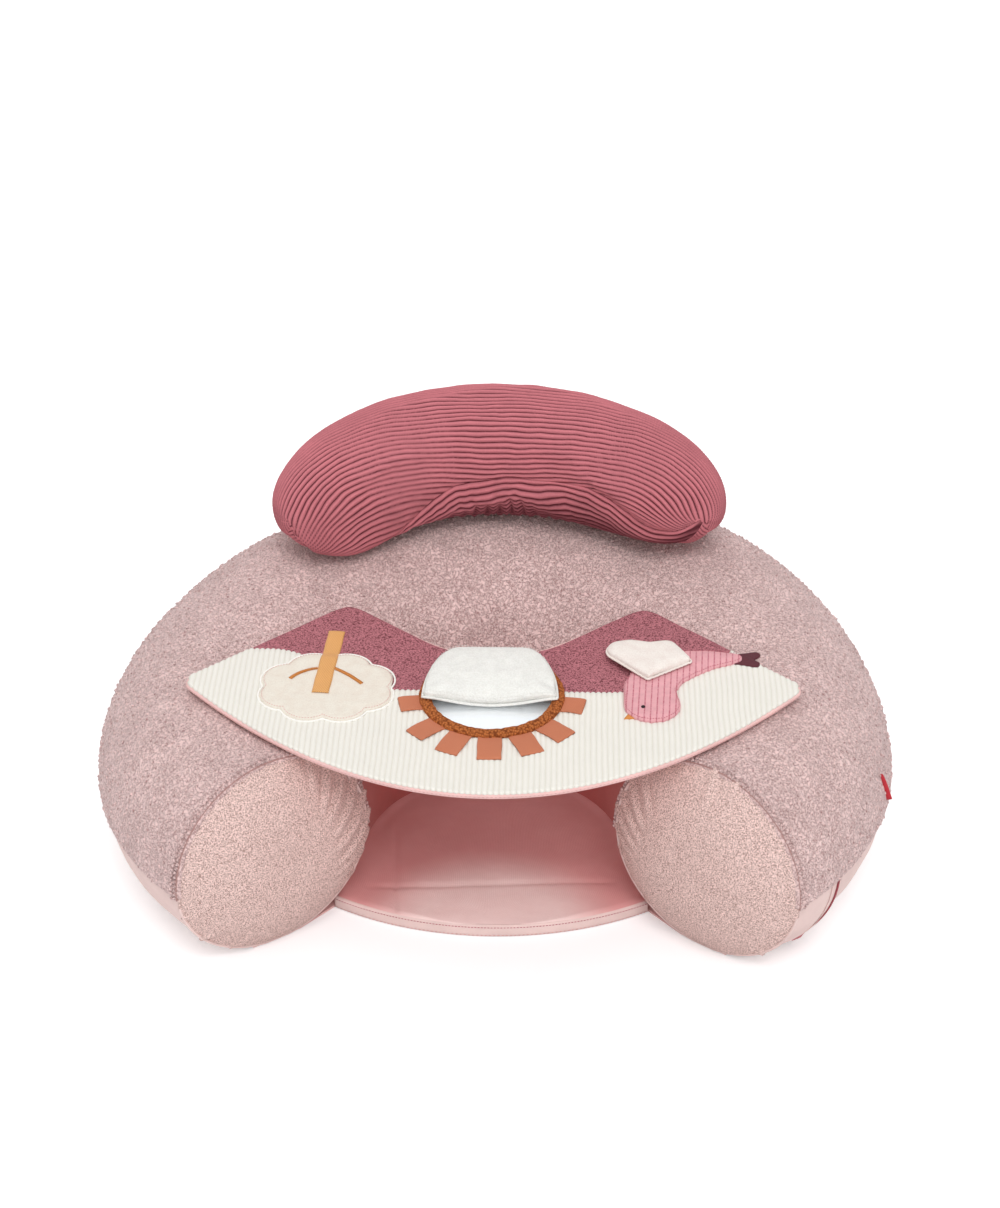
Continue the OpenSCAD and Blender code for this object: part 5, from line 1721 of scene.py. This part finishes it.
def make_cushion(finish):
    """Three corduroy panels over one stuffed shape: top and back, front, underside."""
    rows, across = 97, 72
    u, coarse = stuffed_cushion(rows, across)
    fine_rows = 230
    at = np.linspace(0, rows - 1, fine_rows)
    shape = finer(coarse, at, False)
    u_fine = np.interp(at, np.arange(rows), u)
    seam = seam_angle(u_fine)
    front_foot, back_foot = (np.full(fine_rows, foot) for foot in (FOOT_FRONT, FOOT_BACK))
    panels = (
        ("cushion_top_cover_corduroy", "cushion_top_cover", back_foot - 360, seam, 330),
        ("cushion_front_cover_corduroy", "cushion_front_cover", seam, front_foot, 140),
        ("cushion_underside_corduroy", "cushion_underside", front_foot, back_foot, 40),
    )
    for name, node, first, last, steps in panels:
        share = np.linspace(0, 1, steps)
        angle = first[:, None] + (last - first)[:, None] * share[None]
        make_panel(name, node, round_section(shape, angle, across), angle, u_fine, finish, share)
    heart = coarse.mean(1, keepdims=True)
    far = np.linalg.norm(coarse - heart, axis=2, keepdims=True)
    stuffing = (heart + (coarse - heart) * np.clip(1 - 3.2 / np.maximum(far, 3.5), 0.05, 1))[4:-4]
    fibre = grid_mesh("cushion_filling_fibre", stuffing, FINISH["cushion_fibre"], around=True, ends="flat",
                      uv=False)
    fix_outwards(fibre)
    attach(fibre, CUSHION)
    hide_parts("cushion_filling")


def round_section(shape, angle, across):
    """Points at given angles round each section of the coarse shape."""
    rows = []
    for section, where in zip(shape, angle):
        at = (where % 360.0) / 360.0 * across
        rows.append(finer(section[:, None, :], at, True)[:, 0])
    return np.array(rows)


def make_panel(name, node, points, angle, u, cloth, share):
    """One corduroy panel with its ribs raised along their real lines."""
    normal = unit(np.cross(np.gradient(points, axis=0), np.gradient(points, axis=1)))
    if np.sum(normal * (points - points.mean(1, keepdims=True))) < 0:
        normal = -normal
    size = cushion_section(u)[:, None] * 1.05
    if node == "cushion_front_cover":
        fan = 1.0 + 0.25 * np.abs(u)[:, None]
        phase = (angle - seam_angle(u)[:, None]) / RADIAN * size / (FRONT_PITCH * fan)
    else:
        straighter = RIB_STRAIGHT * CUSHION_R * (1 - cosd(CUSHION_ANGLE * u))[:, None]
        phase = ((angle - 90.0) / RADIAN * size + straighter) / ROSE_PITCH
    phase = phase + (ripple(points, 30, 2) * 0.35 + ripple(points, 11, 5) * 0.10)
    rib = (0.5 - 0.5 * np.cos(2 * np.pi * (phase % 1.0))) ** 0.55
    ends = np.clip(np.minimum(share, 1 - share) * points.shape[1] / 3.0, 0, 1)[None]
    tips = np.clip((1 - np.abs(u)) / 0.02, 0, 1)[:, None]
    height = (2.1 * rib - 1.1) * ends * tips + 0.5
    fluff = ripple(points, 2.6, 9) * 0.16
    raised = points + normal * (height + fluff)[..., None]
    crown = rib * np.ones_like(height)
    # painted shade: the front panel's ribs fade towards the groove colour down to its underside, for the
    # shade under the cushion's front
    if node == "cushion_front_cover":
        crown = crown * (1 - 0.75 * ease((share[None] - 0.03) / 0.55))
    piece = grid_mesh(name, raised, cloth, carried={"rib": crown})
    heart = Vector((0.0, CUSHION_R, float(crest(0)) + TAPE_GAP + CUSHION_H / 2)) * METRE

    def faces_in(faces):
        probe = faces[len(faces) // 2]
        if node == "cushion_underside":
            return sum(face.normal.z for face in faces) >= 0
        return probe.normal.dot(probe.calc_center_median() - heart) <= 0
    fix_outwards(piece, faces_in)
    thicken(piece, PANEL_T)
    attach(piece, CUSHION)
    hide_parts(node)


# ---------- what stays from the solids ----------

def dress_solids():
    """Finishes for every solid that stays: inside pieces, patches, plates and metal."""
    slots = {
        "air_valve": "valve_plastic", "valve_cap": "valve_plastic", "base_panel": "woven_pink",
        "base_pad": "pad_foam", "zip_slider": "zip_metal", "arm_hook_patches": "hook_tape",
        "cushion_hook_strip": "tape_rose", "tray_board": "tray_core", "tray_loop_patches": "loop_tape",
        "mirror_plate": "mirror_film", "cushion_loop_strip": "tape_rose",
    }
    for node, slot_name in slots.items():
        solid = frame["nodes"][node]
        if not solid.material_slots:
            solid.data.materials.append(FINISH[slot_name])
        for slot_part in solid.material_slots:
            slot_part.material = FINISH[slot_name]


OFF_FLOOR = 0.1


def rest_on_floor():
    """Lifts what sinks under the floor in any piece made here."""
    solids = set(frame["nodes"].values())
    for piece in bpy.context.scene.objects:
        if piece.type != "MESH" or piece in solids or piece.name == "studio_floor":
            continue
        place = points_of(piece)
        if len(place) and place[:, 2].min() < 0:
            place[:, 2] = np.maximum(place[:, 2], OFF_FLOOR)
            move_points(piece, place)


place_camera()
light_studio()
lay_floor()
FINISH = make_finishes()
dress_solids()
make_chamber(FINISH["chamber_film"])
make_fleece(FINISH["teddy_fleece"])
make_band(FINISH["woven_light"])
make_inner_wall(FINISH["woven_wall"])
for name, side in (("end_disc_left", -1), ("end_disc_right", 1)):
    make_disc(name, side, FINISH["velour_end"], FINISH["woven_light"])
make_floor(FINISH["woven_floor"])
make_front_band(FINISH["woven_light"], FINISH["thread_pink"])
make_zip(FINISH["zip_tape_fabric"], FINISH["zip_nylon"])
make_tag(FINISH["tag_ribbon"])
make_tray_backing(FINISH["woven_pink"], FINISH["thread_pink"])
make_tray_corduroy(FINISH["corduroy_cream"])
make_tray_velour(FINISH["velour_burgundy"])
make_bezel(FINISH["terry_rust"], FINISH["thread_mustard"])
make_flap(FINISH["terry_white"], FINISH["terry_white"])
make_rays(FINISH["ribbon_terracotta"])
make_tree(FINISH["foliage_velour"], FINISH["foliage_edge"], FINISH["thread_pink"], FINISH["ribbon_mustard"],
          FINISH["thread_mustard"])
make_bird(FINISH["bird_stripe"], FINISH["thread_rose"], FINISH["felt_plum"], FINISH["thread_mustard"],
          FINISH["thread_black"], FINISH["wing_velour"], FINISH["wing_velour"])
make_cushion(FINISH["corduroy_rose"])

rest_on_floor()
